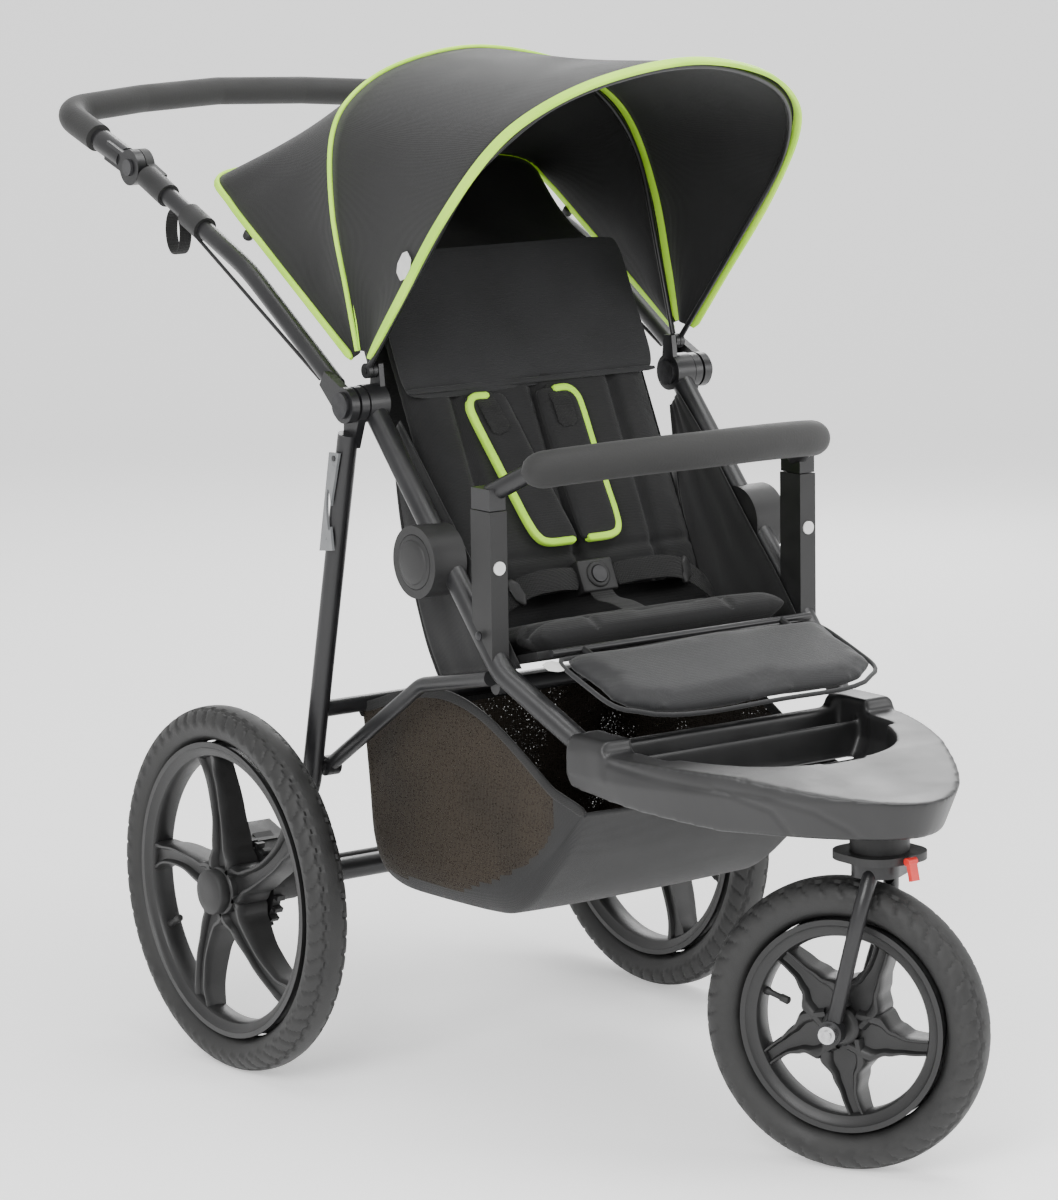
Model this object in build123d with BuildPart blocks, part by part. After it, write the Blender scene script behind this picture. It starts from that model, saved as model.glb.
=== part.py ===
"""Baby stroller with a folding tube frame.

Millimetres, +Z up.  The front of the stroller faces -Y and the occupant's right hand is on the
-X side.  The origin lies on the floor, midway between the two sides.
"""
from build123d import *
import math
import os

os.makedirs("parts", exist_ok=True)

# ---------------------------------------------------------------- overall layout (Y, Z points)
fold_y, fold_z = 34, 738            # the fold hinge: front tube, push tube and rear leg meet here
knee_y, knee_z = -195, 482          # the front tube bends here, below the seat's front edge
nose_arm_x, nose_arm_y, nose_arm_z = 168, -300, 410   # the front tube ends inside the nose arm
leg_bend_y, leg_bend_z = 128, 320   # the rear leg bends back here, towards the axle
axle_y, axle_z = 195, 200           # rear axle
grip_y, grip_z = 449, 964           # handlebar angle joint
push_bend_y, push_bend_z = 227, 866  # the push tube bends here

# ---------------------------------------------------------------- running fits and gaps
running_gap = 0.05                  # radial play of a pin in its hole
side_gap = 1.5                      # between two plates that turn beside each other
slide_gap = 0.3                     # round a part that slides in a pocket

# ---------------------------------------------------------------- frame tubes
front_tube_d = 24
leg_tube_d = 22
push_tube_d = 20
brace_tube_d = 16
hub_inner_x = 191
front_tube_x = hub_inner_x + front_tube_d / 2
hub_outer_x = hub_inner_x + front_tube_d
eye_r = 19
eye_t = 9.5
leg_eye_x = hub_outer_x + side_gap              # inner face of the rear leg's eye
push_eye_x = leg_eye_x + eye_t + 2 * side_gap   # inner face of the push tube's eye
outer_tube_x = (leg_eye_x + push_eye_x + eye_t) / 2
fold_pin_r = 6
fold_head_r, fold_head_t = 14, 4

# ---------------------------------------------------------------- wheels
rear_wheel_r, rear_tyre_w = 200, 46
rear_wheel_x = 287
rear_rim_r, rear_rim_in_r = 160, 145
front_wheel_r, front_tyre_w = 150, 50
front_rim_r, front_rim_in_r = 107, 91
spoke_count = 5
spoke_t = 14
hub_half_l = 25
steer_y = -547
trail = 35
swivel_rest = 28                    # degrees: the front wheel stands turned to one side

# ---------------------------------------------------------------- seat
seat_rear_y, seat_rear_z = -62, 458
seat_front_y, seat_front_z = -226, 498
seat_half_w = 178
pad_t = 28
board_t = 8
recline = 25                        # degrees from upright
back_len = 455
panel_inner_x = 183.5
panel_t = 3

sides = (("right", -1), ("left", 1))


def save(piece, label):
    """Name a finished piece and write its STEP file."""
    piece.part.label = label
    export_step(piece.part, f"parts/{label}.step")


def bent_tube(points, diameter, bend_r):
    """Sweep a round section along straight runs joined by bends of one radius."""
    with BuildPart() as tube:
        with BuildLine() as path:
            if bend_r:
                FilletPolyline(*points, radius=bend_r)
            else:
                Polyline(*points)
        wire = path.wire()
        with BuildSketch(Plane(origin=wire @ 0, z_dir=wire % 0)):
            Circle(diameter / 2)
        sweep(path=wire)
    return tube.part


def smooth_tube(points, diameter, tangents=None):
    """Sweep a round section along a smooth curve through the points."""
    with BuildPart() as tube:
        with BuildLine() as path:
            Spline(*points, tangents=tangents)
        wire = path.wire()
        with BuildSketch(Plane(origin=wire @ 0, z_dir=wire % 0)):
            Circle(diameter / 2)
        sweep(path=wire)
    return tube.part


def side_plate(outline, x_low, thickness):
    """Extrude an outline of (Y, Z) points from x_low towards +X."""
    with BuildPart() as plate:
        with BuildSketch(Plane.YZ.offset(x_low)):
            with BuildLine():
                Polyline(*outline, close=True)
            make_face()
        extrude(amount=thickness)
    return plate.part


def x_cylinder(y, z, radius, x_a, x_b):
    """A cylinder along X between two X values."""
    low, high = min(x_a, x_b), max(x_a, x_b)
    with BuildPart() as rod:
        with Locations(Location((low, y, z), (0, 90, 0))):
            Cylinder(radius, high - low, align=(Align.CENTER, Align.CENTER, Align.MIN))
    return rod.part


def block(center, size, round_r=0):
    """A box, its edges rounded if a radius is given."""
    with BuildPart() as body:
        with Locations(center):
            Box(*size)
        if round_r:
            fillet(body.edges(), round_r)
    return body.part


def unit(dy, dz):
    """Direction of a (Y, Z) step."""
    length = math.hypot(dy, dz)
    return dy / length, dz / length


def lug(sign, y, z, dy, dz, reach, x_in, hole_r):
    """A flat eye round (y, z) with a neck along (dy, dz) that runs into a tube."""
    uy, uz = unit(dy, dz)
    low = x_in if sign > 0 else -x_in - eye_t
    neck_w = eye_r - 3
    with BuildPart() as eye:
        add(x_cylinder(y, z, eye_r, low, low + eye_t))
        corners = [(y - uz * neck_w, z + uy * neck_w), (y + uz * neck_w, z - uy * neck_w)]
        far = [(y + uy * reach + uz * 9, z + uz * reach - uy * 9),
               (y + uy * reach - uz * 9, z + uz * reach + uy * 9)]
        add(side_plate(corners + far, low, eye_t))
        add(x_cylinder(y, z, hole_r, low - 1, low + eye_t + 1), mode=Mode.SUBTRACT)
    return eye.part


def front_tube_solid(sign):
    """The bent round tube of one side of the front frame."""
    x = sign * front_tube_x
    return bent_tube([(x, fold_y, fold_z), (x, knee_y, knee_z),
                      (sign * nose_arm_x, nose_arm_y, nose_arm_z)], front_tube_d, 60)


# ================================================================ front frame
# One bent tube a side, from the fold hinge down to the nose, with the canopy pivot above it.
canopy_y, canopy_z = 34, 772
canopy_pin_r = 3
canopy_lug_t = 6
bow_eye_t, bow_eye_r = 5, 8
mid_eye_x = hub_inner_x + canopy_lug_t + 1
front_eye_x = mid_eye_x + bow_eye_t + 1
canopy_pin_end = front_eye_x + bow_eye_t + 1
hub_disc_r = 20
for side, sign in sides:
    with BuildPart() as front_tube:
        add(front_tube_solid(sign))
        add(x_cylinder(fold_y, fold_z, hub_disc_r, sign * hub_inner_x, sign * hub_outer_x))
        low = hub_inner_x if sign > 0 else -hub_inner_x - canopy_lug_t
        add(side_plate([(fold_y - 12, fold_z), (fold_y + 12, fold_z),
                        (canopy_y + 7, canopy_z + 7), (canopy_y - 7, canopy_z + 7)],
                       low, canopy_lug_t))
        add(x_cylinder(canopy_y, canopy_z, canopy_pin_r, sign * hub_inner_x,
                       sign * canopy_pin_end))
        add(x_cylinder(fold_y, fold_z, fold_pin_r, sign * (hub_inner_x - 1),
                       sign * (hub_outer_x + 1)), mode=Mode.SUBTRACT)
    save(front_tube, f"front_tube_{side}")

# Fold pins, each with a round head outside and a washer inside.
fold_head_x = push_eye_x + eye_t + 0.5
with BuildPart() as fold_pins:
    for side, sign in sides:
        add(x_cylinder(fold_y, fold_z, fold_pin_r, sign * (hub_inner_x - 1),
                       sign * (fold_head_x + 1)))
        add(x_cylinder(fold_y, fold_z, fold_head_r, sign * fold_head_x,
                       sign * (fold_head_x + fold_head_t)))
        add(x_cylinder(fold_y, fold_z, fold_head_r, sign * (hub_inner_x - 4),
                       sign * hub_inner_x))
save(fold_pins, "fold_pins")

# Round housings clamped on the front tubes.
disc_y, disc_z, disc_r = -82, 586, 38
disc_outer_x = 232
with BuildPart() as side_discs:
    for side, sign in sides:
        add(x_cylinder(disc_y, disc_z, disc_r, sign * (hub_inner_x + 1), sign * disc_outer_x))
        add(x_cylinder(disc_y, disc_z, disc_r - 9, sign * (disc_outer_x - 1.5),
                       sign * (disc_outer_x + 1)), mode=Mode.SUBTRACT)
        add(front_tube_solid(sign), mode=Mode.SUBTRACT)
save(side_discs, "side_discs")

# Sockets that hold the bumper bar: a column on each front tube.
socket_y, socket_low, socket_top = -175, 480, 648
socket_w, socket_d = 21, 34
spigot_w, spigot_d, spigot_l = 13, 20, 34
bumper_button_r, bumper_button_z, bumper_button_stand = 7, 590, 1.5
bumper_button_depth = 8
with BuildPart() as bumper_sockets:
    for side, sign in sides:
        x = sign * front_tube_x
        with Locations((x, socket_y, (socket_top + socket_low) / 2)):
            Box(socket_w, socket_d, socket_top - socket_low)
        with Locations((x, socket_y, socket_top - spigot_l / 2 - 1)):
            Box(spigot_w + 2 * slide_gap, spigot_d + 2 * slide_gap, spigot_l + 2,
                mode=Mode.SUBTRACT)
        with Locations(Location((x, socket_y - socket_d / 2, bumper_button_z), (90, 0, 0))):
            Cylinder(bumper_button_r + slide_gap, 2 * bumper_button_depth, mode=Mode.SUBTRACT)
        # The column sits on the upper half of the tube.
        rise = (fold_z - knee_z) / (fold_y - knee_y)
        add(side_plate([(knee_y - 40, knee_z - 40 * rise), (knee_y + 80, knee_z + 80 * rise),
                        (knee_y + 80, socket_low - 99), (knee_y - 40, socket_low - 99)],
                       x - socket_w, 2 * socket_w), mode=Mode.SUBTRACT)
        add(front_tube_solid(sign), mode=Mode.SUBTRACT)
save(bumper_sockets, "bumper_sockets")

# Cross tube under the seat's front edge.
seat_cross_y, seat_cross_z, seat_cross_d = knee_y + 22, knee_z - 18, 16
with BuildPart() as seat_cross_tube:
    add(x_cylinder(seat_cross_y, seat_cross_z, seat_cross_d / 2, -hub_inner_x - 6, hub_inner_x + 6))
    for side, sign in sides:
        add(front_tube_solid(sign), mode=Mode.SUBTRACT)
save(seat_cross_tube, "seat_cross_tube")

# Moulded nose: two arms that take the front tubes, an open tray and the steering head.
nose_low, nose_high = 352, 418
stem_r = 12
nose_front_y = -628
tray_floor = 372
tray_rear_y, tray_wall_t, tray_wall_top = -333, 4, 410
with BuildPart() as nose_tray:
    with BuildSketch(Plane.XY.offset(nose_low)):
        with BuildLine():
            outline = Spline((194, -286), (183, -390), (143, -498), (70, -598), (0, nose_front_y),
                             (-70, -598), (-143, -498), (-183, -390), (-194, -286))
            Line(outline @ 1, outline @ 0)
        make_face()
    extrude(amount=nose_high - nose_low)
    with BuildSketch(Plane.XY.offset(tray_floor)):
        with BuildLine():
            inner = Spline((152, -303), (140, -390), (98, -462), (0, -492),
                           (-98, -462), (-140, -390), (-152, -303))
            Line(inner @ 1, inner @ 0)
        make_face()
    extrude(amount=nose_high, mode=Mode.SUBTRACT)
    # The nose is hollowed from the rear up to the tray, and its front top slopes down.
    with BuildSketch(Plane.YZ.offset(-250)):
        with BuildLine():
            Polyline((-480, nose_high + 1), (nose_front_y - 10, nose_high - 22),
                     (nose_front_y - 10, nose_high + 20), (-480, nose_high + 20), close=True)
        make_face()
    extrude(amount=500, mode=Mode.SUBTRACT)
    # The underside rises towards the rear.
    with BuildSketch(Plane.YZ.offset(-250)):
        with BuildLine():
            Polyline((-470, nose_low - 1), (-280, nose_low - 1), (-280, nose_low + 26), close=True)
        make_face()
    extrude(amount=500, mode=Mode.SUBTRACT)
    for side, sign in sides:
        with BuildSketch(Plane.XZ.offset(286)):
            with Locations((sign * nose_arm_x, 408)):
                RectangleRounded(50, 48, 12)
        extrude(amount=60)
        add(front_tube_solid(sign), mode=Mode.SUBTRACT)
        with BuildSketch(Plane.XZ.offset(303)):
            with Locations((sign * (152 - 30), 420)):
                Rectangle(60, 96)
        extrude(amount=50, mode=Mode.SUBTRACT)
    with BuildSketch(Plane.XY.offset(tray_floor)):
        with Locations((0, -350)):
            Rectangle(2 * 150, 96)
    extrude(amount=100, mode=Mode.SUBTRACT)
    # The tray's rear wall, with nothing behind it between the arms.
    with Locations((0, tray_rear_y, (tray_floor + tray_wall_top) / 2 - 1)):
        Box(2 * 152, tray_wall_t, tray_wall_top - tray_floor + 2)
    with Locations((0, tray_rear_y + tray_wall_t / 2, nose_low)):
        Box(2 * 146, 70, 60, align=(Align.CENTER, Align.MIN, Align.CENTER), mode=Mode.SUBTRACT)
    with Locations((0, steer_y, nose_low)):
        Cylinder(stem_r + slide_gap, 40, mode=Mode.SUBTRACT)
save(nose_tray, "nose_tray")

# Steering head: a flanged bush under the nose.
head_low = nose_low - 30
with BuildPart() as steering_head:
    with BuildSketch(Plane.XY.offset(head_low)):
        with Locations((0, steer_y)):
            RectangleRounded(84, 84, 30)
    extrude(amount=8)
    with Locations((0, steer_y, head_low)):
        Cylinder(30, nose_low - head_low, align=(Align.CENTER, Align.CENTER, Align.MIN))
        Cylinder(stem_r + running_gap, 2 * nose_low, mode=Mode.SUBTRACT)
save(steering_head, "steering_head")


# ================================================================ seat and basket
def seat_point(along, up):
    """(Y, Z) at a distance forward along the seat board and above it."""
    uy, uz = unit(seat_front_y - seat_rear_y, seat_front_z - seat_rear_z)
    return seat_rear_y + along * uy + up * uz, seat_rear_z + along * uz - up * uy


seat_len = math.hypot(seat_front_y - seat_rear_y, seat_front_z - seat_rear_z)


def seat_slab(low, high, rear, front, half_w):
    """A slab over the seat plane between two heights and two distances from its rear edge."""
    corners = [seat_point(rear, low), seat_point(front, low),
               seat_point(front, high), seat_point(rear, high)]
    return side_plate(corners, -half_w, 2 * half_w)


# The seat board carries an ear at each rear corner for the backrest's hinge pin.
recline_y, recline_z = seat_rear_y, seat_rear_z + 6
recline_pin_r, recline_ear_r = 4, 8
ear_inner_x, ear_outer_x = 176.5, 182
board_start = 12
with BuildPart() as seat_board:
    add(seat_slab(0, board_t, board_start, seat_len - 4, seat_half_w))
    for side, sign in sides:
        add(x_cylinder(recline_y, recline_z, recline_ear_r, sign * ear_inner_x, sign * ear_outer_x))
        low = ear_inner_x if sign > 0 else -ear_outer_x
        add(side_plate([seat_point(0, 0), seat_point(board_start + 14, 0),
                        seat_point(board_start + 14, board_t), seat_point(0, board_t + 4)],
                       low, ear_outer_x - ear_inner_x))
        add(x_cylinder(recline_y, recline_z, recline_pin_r + running_gap, sign * (ear_inner_x - 1),
                       sign * (ear_outer_x + 1)), mode=Mode.SUBTRACT)
save(seat_board, "seat_board")

with BuildPart() as seat_pad:
    add(seat_slab(board_t, board_t + pad_t, board_start + 6, seat_len - 4, seat_half_w - 2))
    fillet(seat_pad.edges().filter_by(Axis.X).group_by(Axis.Z)[-1], 10)
save(seat_pad, "seat_pad")

# Fabric side panels between the front tubes and the seat.
panel_outline = [(24, 700), (5, 600), (-30, 500), (-58, 452), (-205, 484), (-150, 548),
                 (-40, 672), (10, 724)]
with BuildPart() as side_panels:
    for side, sign in sides:
        low = panel_inner_x if sign > 0 else -panel_inner_x - panel_t
        add(side_plate(panel_outline, low, panel_t))
save(side_panels, "side_panels")

# Basket: an open-topped fabric tub hung below the seat.
basket_half_w, basket_wall = 172, 3
basket_low, basket_rear_y = 207, 113
basket_outline = [(basket_rear_y, 381), (basket_rear_y, basket_low), (-165, basket_low),
                  (-292, 348)]
basket_inner = [(basket_rear_y - basket_wall, 420), (basket_rear_y - basket_wall, basket_low + basket_wall),
                (-163, basket_low + basket_wall), (-292 + 4, 348), (-292 + 4, 420)]
with BuildPart() as basket:
    add(side_plate(basket_outline, -basket_half_w, 2 * basket_half_w))
    fillet(basket.edges().filter_by(Axis.X).group_by(Axis.Z)[0], 30)
    add(side_plate(basket_inner, -basket_half_w + basket_wall, 2 * (basket_half_w - basket_wall)),
        mode=Mode.SUBTRACT)
save(basket, "basket")

# Lap belt and crotch strap, with the buckle on top.
buckle_y, buckle_z = -80, 545
strap_t = 2.5
with BuildPart() as lap_belt:
    for side, sign in sides:
        add(smooth_tube([(sign * 150, -85, 513), (sign * 95, -97, 540), (sign * 30, buckle_y - 2, buckle_z)],
                        2 * strap_t + 9, None))
    add(smooth_tube([(0, seat_point(seat_len - 60, 0)[0], seat_point(0, board_t + pad_t)[1] + 36),
                     (0, buckle_y - 22, buckle_z - 20), (0, buckle_y - 6, buckle_z - 8)], 14, None))
buckle_w, buckle_d, buckle_h = 58, 22, 40
buckle_button_r, button_well = 9, 10
with BuildPart() as buckle:
    with Locations(Location((0, buckle_y, buckle_z), (-recline, 0, 0))):
        Box(buckle_w, buckle_d, buckle_h)
    fillet(buckle.edges().filter_by(Axis.X), 5)
    with Locations(Location((0, buckle_y, buckle_z), (-recline, 0, 0))):
        with Locations(Location((0, -buckle_d / 2, 0), (90, 0, 0))):
            Cylinder(buckle_button_r + slide_gap, button_well, mode=Mode.SUBTRACT)
with BuildPart() as buckle_button:
    with Locations(Location((0, buckle_y, buckle_z), (-recline, 0, 0))):
        with Locations(Location((0, -buckle_d / 2 + 0.5, 0), (90, 0, 0))):
            Cylinder(buckle_button_r, 5)
save(buckle, "buckle")
save(buckle_button, "buckle_button")
with BuildPart() as harness_lower:
    add(lap_belt.part)
    for other in (buckle, buckle_button, seat_pad):
        add(other.part, mode=Mode.SUBTRACT)
    # The webbing stays clear of the well that the button sinks into.
    with Locations(Location((0, buckle_y, buckle_z), (-recline, 0, 0))):
        with Locations(Location((0, -buckle_d / 2, 0), (90, 0, 0))):
            Cylinder(buckle_button_r + slide_gap, button_well, mode=Mode.SUBTRACT)
save(harness_lower, "lap_belt")

# ================================================================ push frame
grip_disc_r, grip_pin_r = 20, 5
grip_inner_x, grip_outer_x = leg_eye_x, push_eye_x + eye_t
grip_split_x = (grip_inner_x + grip_outer_x) / 2
fold_dir = (push_bend_y - fold_y, push_bend_z - fold_z)
grip_dir = (grip_y - push_bend_y, grip_z - push_bend_z)
neck_reach = 32


def along(point, direction, distance):
    """A (Y, Z) point at a distance from another along a direction."""
    uy, uz = unit(*direction)
    return point[0] + uy * distance, point[1] + uz * distance


def push_tube_solid(sign):
    """The bent push tube of one side, from above the fold hinge to the grip joint."""
    start = along((fold_y, fold_z), fold_dir, neck_reach)
    end = along((grip_y, grip_z), grip_dir, -neck_reach + 4)
    return bent_tube([(sign * outer_tube_x, *start), (sign * outer_tube_x, push_bend_y, push_bend_z),
                      (sign * outer_tube_x, *end)], push_tube_d, 300)


for side, sign in sides:
    with BuildPart() as push_tube:
        add(push_tube_solid(sign))
        add(lug(sign, fold_y, fold_z, *fold_dir, neck_reach + 14, push_eye_x,
                fold_pin_r + running_gap))
    save(push_tube, f"push_tube_{side}")

# Grip joints: the fixed half of the handlebar's angle joint, with its pin.
grip_half_t = grip_split_x - grip_inner_x - 0.5
grip_button_r, grip_press = 9, 3
with BuildPart() as grip_joints:
    for side, sign in sides:
        inner, outer = sign * grip_inner_x, sign * (grip_inner_x + grip_half_t)
        add(x_cylinder(grip_y, grip_z, grip_disc_r, inner, outer))
        back = along((grip_y, grip_z), grip_dir, -44)
        uy, uz = unit(*grip_dir)
        w = 12
        low = min(inner, outer)
        add(side_plate([(grip_y - uz * w, grip_z + uy * w), (grip_y + uz * w, grip_z - uy * w),
                        (back[0] + uz * w, back[1] - uy * w), (back[0] - uz * w, back[1] + uy * w)],
                       low, grip_half_t))
        sleeve_a = along((grip_y, grip_z), grip_dir, -24)
        sleeve_b = along((grip_y, grip_z), grip_dir, -70)
        add(bent_tube([(sign * outer_tube_x, *sleeve_a), (sign * outer_tube_x, *sleeve_b)], 27, 0))
        add(x_cylinder(grip_y, grip_z, grip_pin_r, inner, sign * (grip_outer_x - 4)))
        add(push_tube_solid(sign), mode=Mode.SUBTRACT)
save(grip_joints, "grip_joints")

# Fold releases: a sleeve that slides up the push tube, with its pull rod.
sleeve_far = 150
sleeve_len, sleeve_wall, release_travel = 34, 4, 10
for side, sign in sides:
    top = along((grip_y, grip_z), grip_dir, -sleeve_far + sleeve_len)
    low_end = along((grip_y, grip_z), grip_dir, -sleeve_far)
    rod_top = (low_end[0] + 14, low_end[1] - 11)
    with BuildPart() as release:
        add(bent_tube([(sign * outer_tube_x, *top), (sign * outer_tube_x, *low_end)],
                      push_tube_d + 2 * sleeve_wall, 0))
        add(bent_tube([(sign * outer_tube_x, *rod_top), (sign * outer_tube_x, fold_y + 58, fold_z + 22)],
                      4, 0))
        over = along((grip_y, grip_z), grip_dir, -sleeve_far + sleeve_len + 5)
        under = along((grip_y, grip_z), grip_dir, -sleeve_far - 5)
        add(bent_tube([(sign * outer_tube_x, *over), (sign * outer_tube_x, *under)],
                      push_tube_d + 0.2, 0), mode=Mode.SUBTRACT)
    save(release, f"fold_release_{side}")

# ================================================================ handlebar
handle_tilt = 19
bar_x, corner_u, bar_u = outer_tube_x, 168, 203
handle_plane = Plane(origin=(0, grip_y, grip_z), x_dir=(1, 0, 0),
                     z_dir=(0, -math.sin(math.radians(handle_tilt)),
                            math.cos(math.radians(handle_tilt))))


def handle_path(u_start):
    """The handlebar's centre line, from one arm at u_start round to the other."""
    flat = [(-bar_x, u_start), (-bar_x, corner_u), (-110, bar_u - 11), (0, bar_u),
            (110, bar_u - 11), (bar_x, corner_u), (bar_x, u_start)]
    return [handle_plane.from_local_coords((u, v, 0)) for u, v in flat]


foam_start = 86
with BuildPart() as handle_tube:
    add(bent_tube(handle_path(neck_reach - 6), push_tube_d, 42))
    dy, dz = math.cos(math.radians(handle_tilt)), math.sin(math.radians(handle_tilt))
    for side, sign in sides:
        outer = sign * grip_outer_x
        inner = sign * (grip_split_x + 0.5)
        add(x_cylinder(grip_y, grip_z, grip_disc_r, inner, outer))
        low = min(inner, outer)
        w = 11
        far = (grip_y + dy * 52, grip_z + dz * 52)
        add(side_plate([(grip_y - dz * w, grip_z + dy * w), (grip_y + dz * w, grip_z - dy * w),
                        (far[0] + dz * w, far[1] - dy * w), (far[0] - dz * w, far[1] + dy * w)],
                       low, abs(outer - inner)))
        sleeve_a = (grip_y + dy * 24, grip_z + dz * 24)
        sleeve_b = (grip_y + dy * 76, grip_z + dz * 76)
        add(bent_tube([(sign * outer_tube_x, *sleeve_a), (sign * outer_tube_x, *sleeve_b)], 26, 0))
        add(x_cylinder(grip_y, grip_z, grip_pin_r + running_gap, inner - sign, sign * (grip_outer_x - 3.7)),
            mode=Mode.SUBTRACT)
        add(x_cylinder(grip_y, grip_z, grip_button_r + slide_gap, sign * (grip_outer_x - 3.7),
                       outer + sign), mode=Mode.SUBTRACT)
        # Nothing of the moving half may reach over the fixed half.
        add(x_cylinder(grip_y, grip_z, grip_disc_r + 3.2, sign * (grip_inner_x - 2),
                       sign * (grip_split_x + 0.5)), mode=Mode.SUBTRACT)
save(handle_tube, "handle_tube")

with BuildPart() as handle_foam:
    add(bent_tube(handle_path(foam_start), 32, 42))
    add(bent_tube(handle_path(foam_start - 5), push_tube_d, 42), mode=Mode.SUBTRACT)
save(handle_foam, "handle_foam")

for side, sign in sides:
    with BuildPart() as grip_button:
        add(x_cylinder(grip_y, grip_z, grip_button_r, sign * (grip_outer_x - 0.5),
                       sign * (grip_outer_x + grip_press)))
    save(grip_button, f"grip_button_{side}")

# Wrist strap: a webbing loop on the right push tube.
strap_y, strap_z = along((grip_y, grip_z), grip_dir, -86)
strap_w = 14
with BuildPart() as wrist_strap:
    band_a = along((strap_y, strap_z), grip_dir, strap_w / 2)
    band_b = along((strap_y, strap_z), grip_dir, -strap_w / 2)
    add(bent_tube([(-outer_tube_x, *band_a), (-outer_tube_x, *band_b)], push_tube_d + 5, 0))
    with BuildSketch(Plane.YZ.offset(-outer_tube_x - strap_w / 2)):
        with Locations((strap_y + 2, strap_z - 33)):
            Ellipse(15, 24)
            Ellipse(12.5, 21.5, mode=Mode.SUBTRACT)
    extrude(amount=strap_w)
    past = along((strap_y, strap_z), grip_dir, 40)
    before = along((strap_y, strap_z), grip_dir, -40)
    add(bent_tube([(-outer_tube_x, *past), (-outer_tube_x, *before)], push_tube_d + 0.4, 0),
        mode=Mode.SUBTRACT)
save(wrist_strap, "wrist_strap")

# ================================================================ rear legs
leg_dir = (leg_bend_y - fold_y, leg_bend_z - fold_z)
brace_pin_r = 5
brace_y, brace_z = along((leg_bend_y, leg_bend_z), leg_dir, -17)
brace_x = hub_inner_x + 5 + brace_tube_d / 2 + 1
leg_inner_x = outer_tube_x - leg_tube_d / 2


def leg_solid(sign):
    """The bent rear leg of one side, from below the fold hinge to the axle housing."""
    start = along((fold_y, fold_z), leg_dir, neck_reach)
    return bent_tube([(sign * outer_tube_x, *start), (sign * outer_tube_x, leg_bend_y, leg_bend_z),
                      (sign * outer_tube_x, axle_y - 6, axle_z + 12)], leg_tube_d, 60)


cross_d, cross_far = 18, 344
cross_y, cross_z = along((fold_y, fold_z), leg_dir, cross_far)
axle_tube_d, axle_pin_r = 25, 6
housing_r = 22
latch_y, latch_z = along((fold_y, fold_z), leg_dir, 58)
latch_pin_r = 3
leg_outer_x = outer_tube_x + leg_tube_d / 2
for side, sign in sides:
    with BuildPart() as rear_leg:
        add(leg_solid(sign))
        add(lug(sign, fold_y, fold_z, *leg_dir, neck_reach + 14, leg_eye_x,
                fold_pin_r + running_gap))
        add(x_cylinder(brace_y, brace_z, brace_pin_r, sign * outer_tube_x,
                       sign * (brace_x - 6)))
        if sign < 0:
            add(x_cylinder(latch_y, latch_z, latch_pin_r, sign * outer_tube_x,
                           sign * (leg_outer_x + 5)))
        add(x_cylinder(axle_y, axle_z, housing_r, sign * (outer_tube_x - 14),
                       sign * (outer_tube_x + 14)), mode=Mode.SUBTRACT)
    save(rear_leg, f"rear_leg_{side}")

with BuildPart() as leg_cross_tubes:
    add(x_cylinder(cross_y, cross_z, cross_d / 2, -outer_tube_x, outer_tube_x))
    add(x_cylinder(axle_y, axle_z, axle_tube_d / 2, -outer_tube_x + 14, outer_tube_x - 14))
    for side, sign in sides:
        add(leg_solid(sign), mode=Mode.SUBTRACT)
save(leg_cross_tubes, "leg_cross_tubes")

stub_end_x = rear_wheel_x + hub_half_l + 6
with BuildPart() as axle_housings:
    for side, sign in sides:
        add(x_cylinder(axle_y, axle_z, housing_r, sign * (outer_tube_x - 14),
                       sign * (outer_tube_x + 14)))
        add(x_cylinder(axle_y, axle_z, axle_pin_r, sign * (outer_tube_x + 14), sign * stub_end_x))
save(axle_housings, "axle_housings")

# Transport latch: a slotted lever hanging on the right leg.
latch_len, latch_w, latch_t = 104, 18, 3
with BuildPart() as transport_latch:
    low = -leg_outer_x - 1 - latch_t
    uy, uz = unit(*leg_dir)
    tip = along((latch_y, latch_z), leg_dir, latch_len)
    nose = (tip[0] - 16, tip[1] + 3)
    with BuildSketch(Plane.YZ.offset(low)):
        with BuildLine():
            Polyline((latch_y - latch_w / 2, latch_z + 6), (latch_y + latch_w / 2, latch_z + 6),
                     (tip[0] + latch_w / 2, tip[1]), nose, (tip[0] - 11, tip[1] + 40), close=True)
        make_face()
        with Locations((latch_y, latch_z)):
            Circle(latch_pin_r + running_gap, mode=Mode.SUBTRACT)
        mid = along((latch_y, latch_z), leg_dir, latch_len * 0.55)
        with Locations(Location((mid[0], mid[1], 0), (0, 0, 0))):
            Ellipse(4, 22, mode=Mode.SUBTRACT)
    extrude(amount=latch_t)
save(transport_latch, "transport_latch")

# Braces: each runs from the rear leg up to the front tube, below the seat.
brace_bend_y, brace_bend_z = -52, 450
brace_end_y, brace_end_z = -176, 474.5
for side, sign in sides:
    x = sign * brace_x
    with BuildPart() as brace:
        add(bent_tube([(x, brace_y, brace_z), (x, brace_bend_y, brace_bend_z),
                       (x, brace_end_y, brace_end_z)], brace_tube_d, 50))
        add(x_cylinder(brace_y, brace_z, 11, sign * (brace_x - brace_tube_d / 2),
                       sign * (brace_x + brace_tube_d / 2)))
        add(x_cylinder(brace_y, brace_z, brace_pin_r + running_gap, sign * (brace_x - 20),
                       sign * (brace_x + 20)), mode=Mode.SUBTRACT)
    save(brace, f"brace_{side}")


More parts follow.
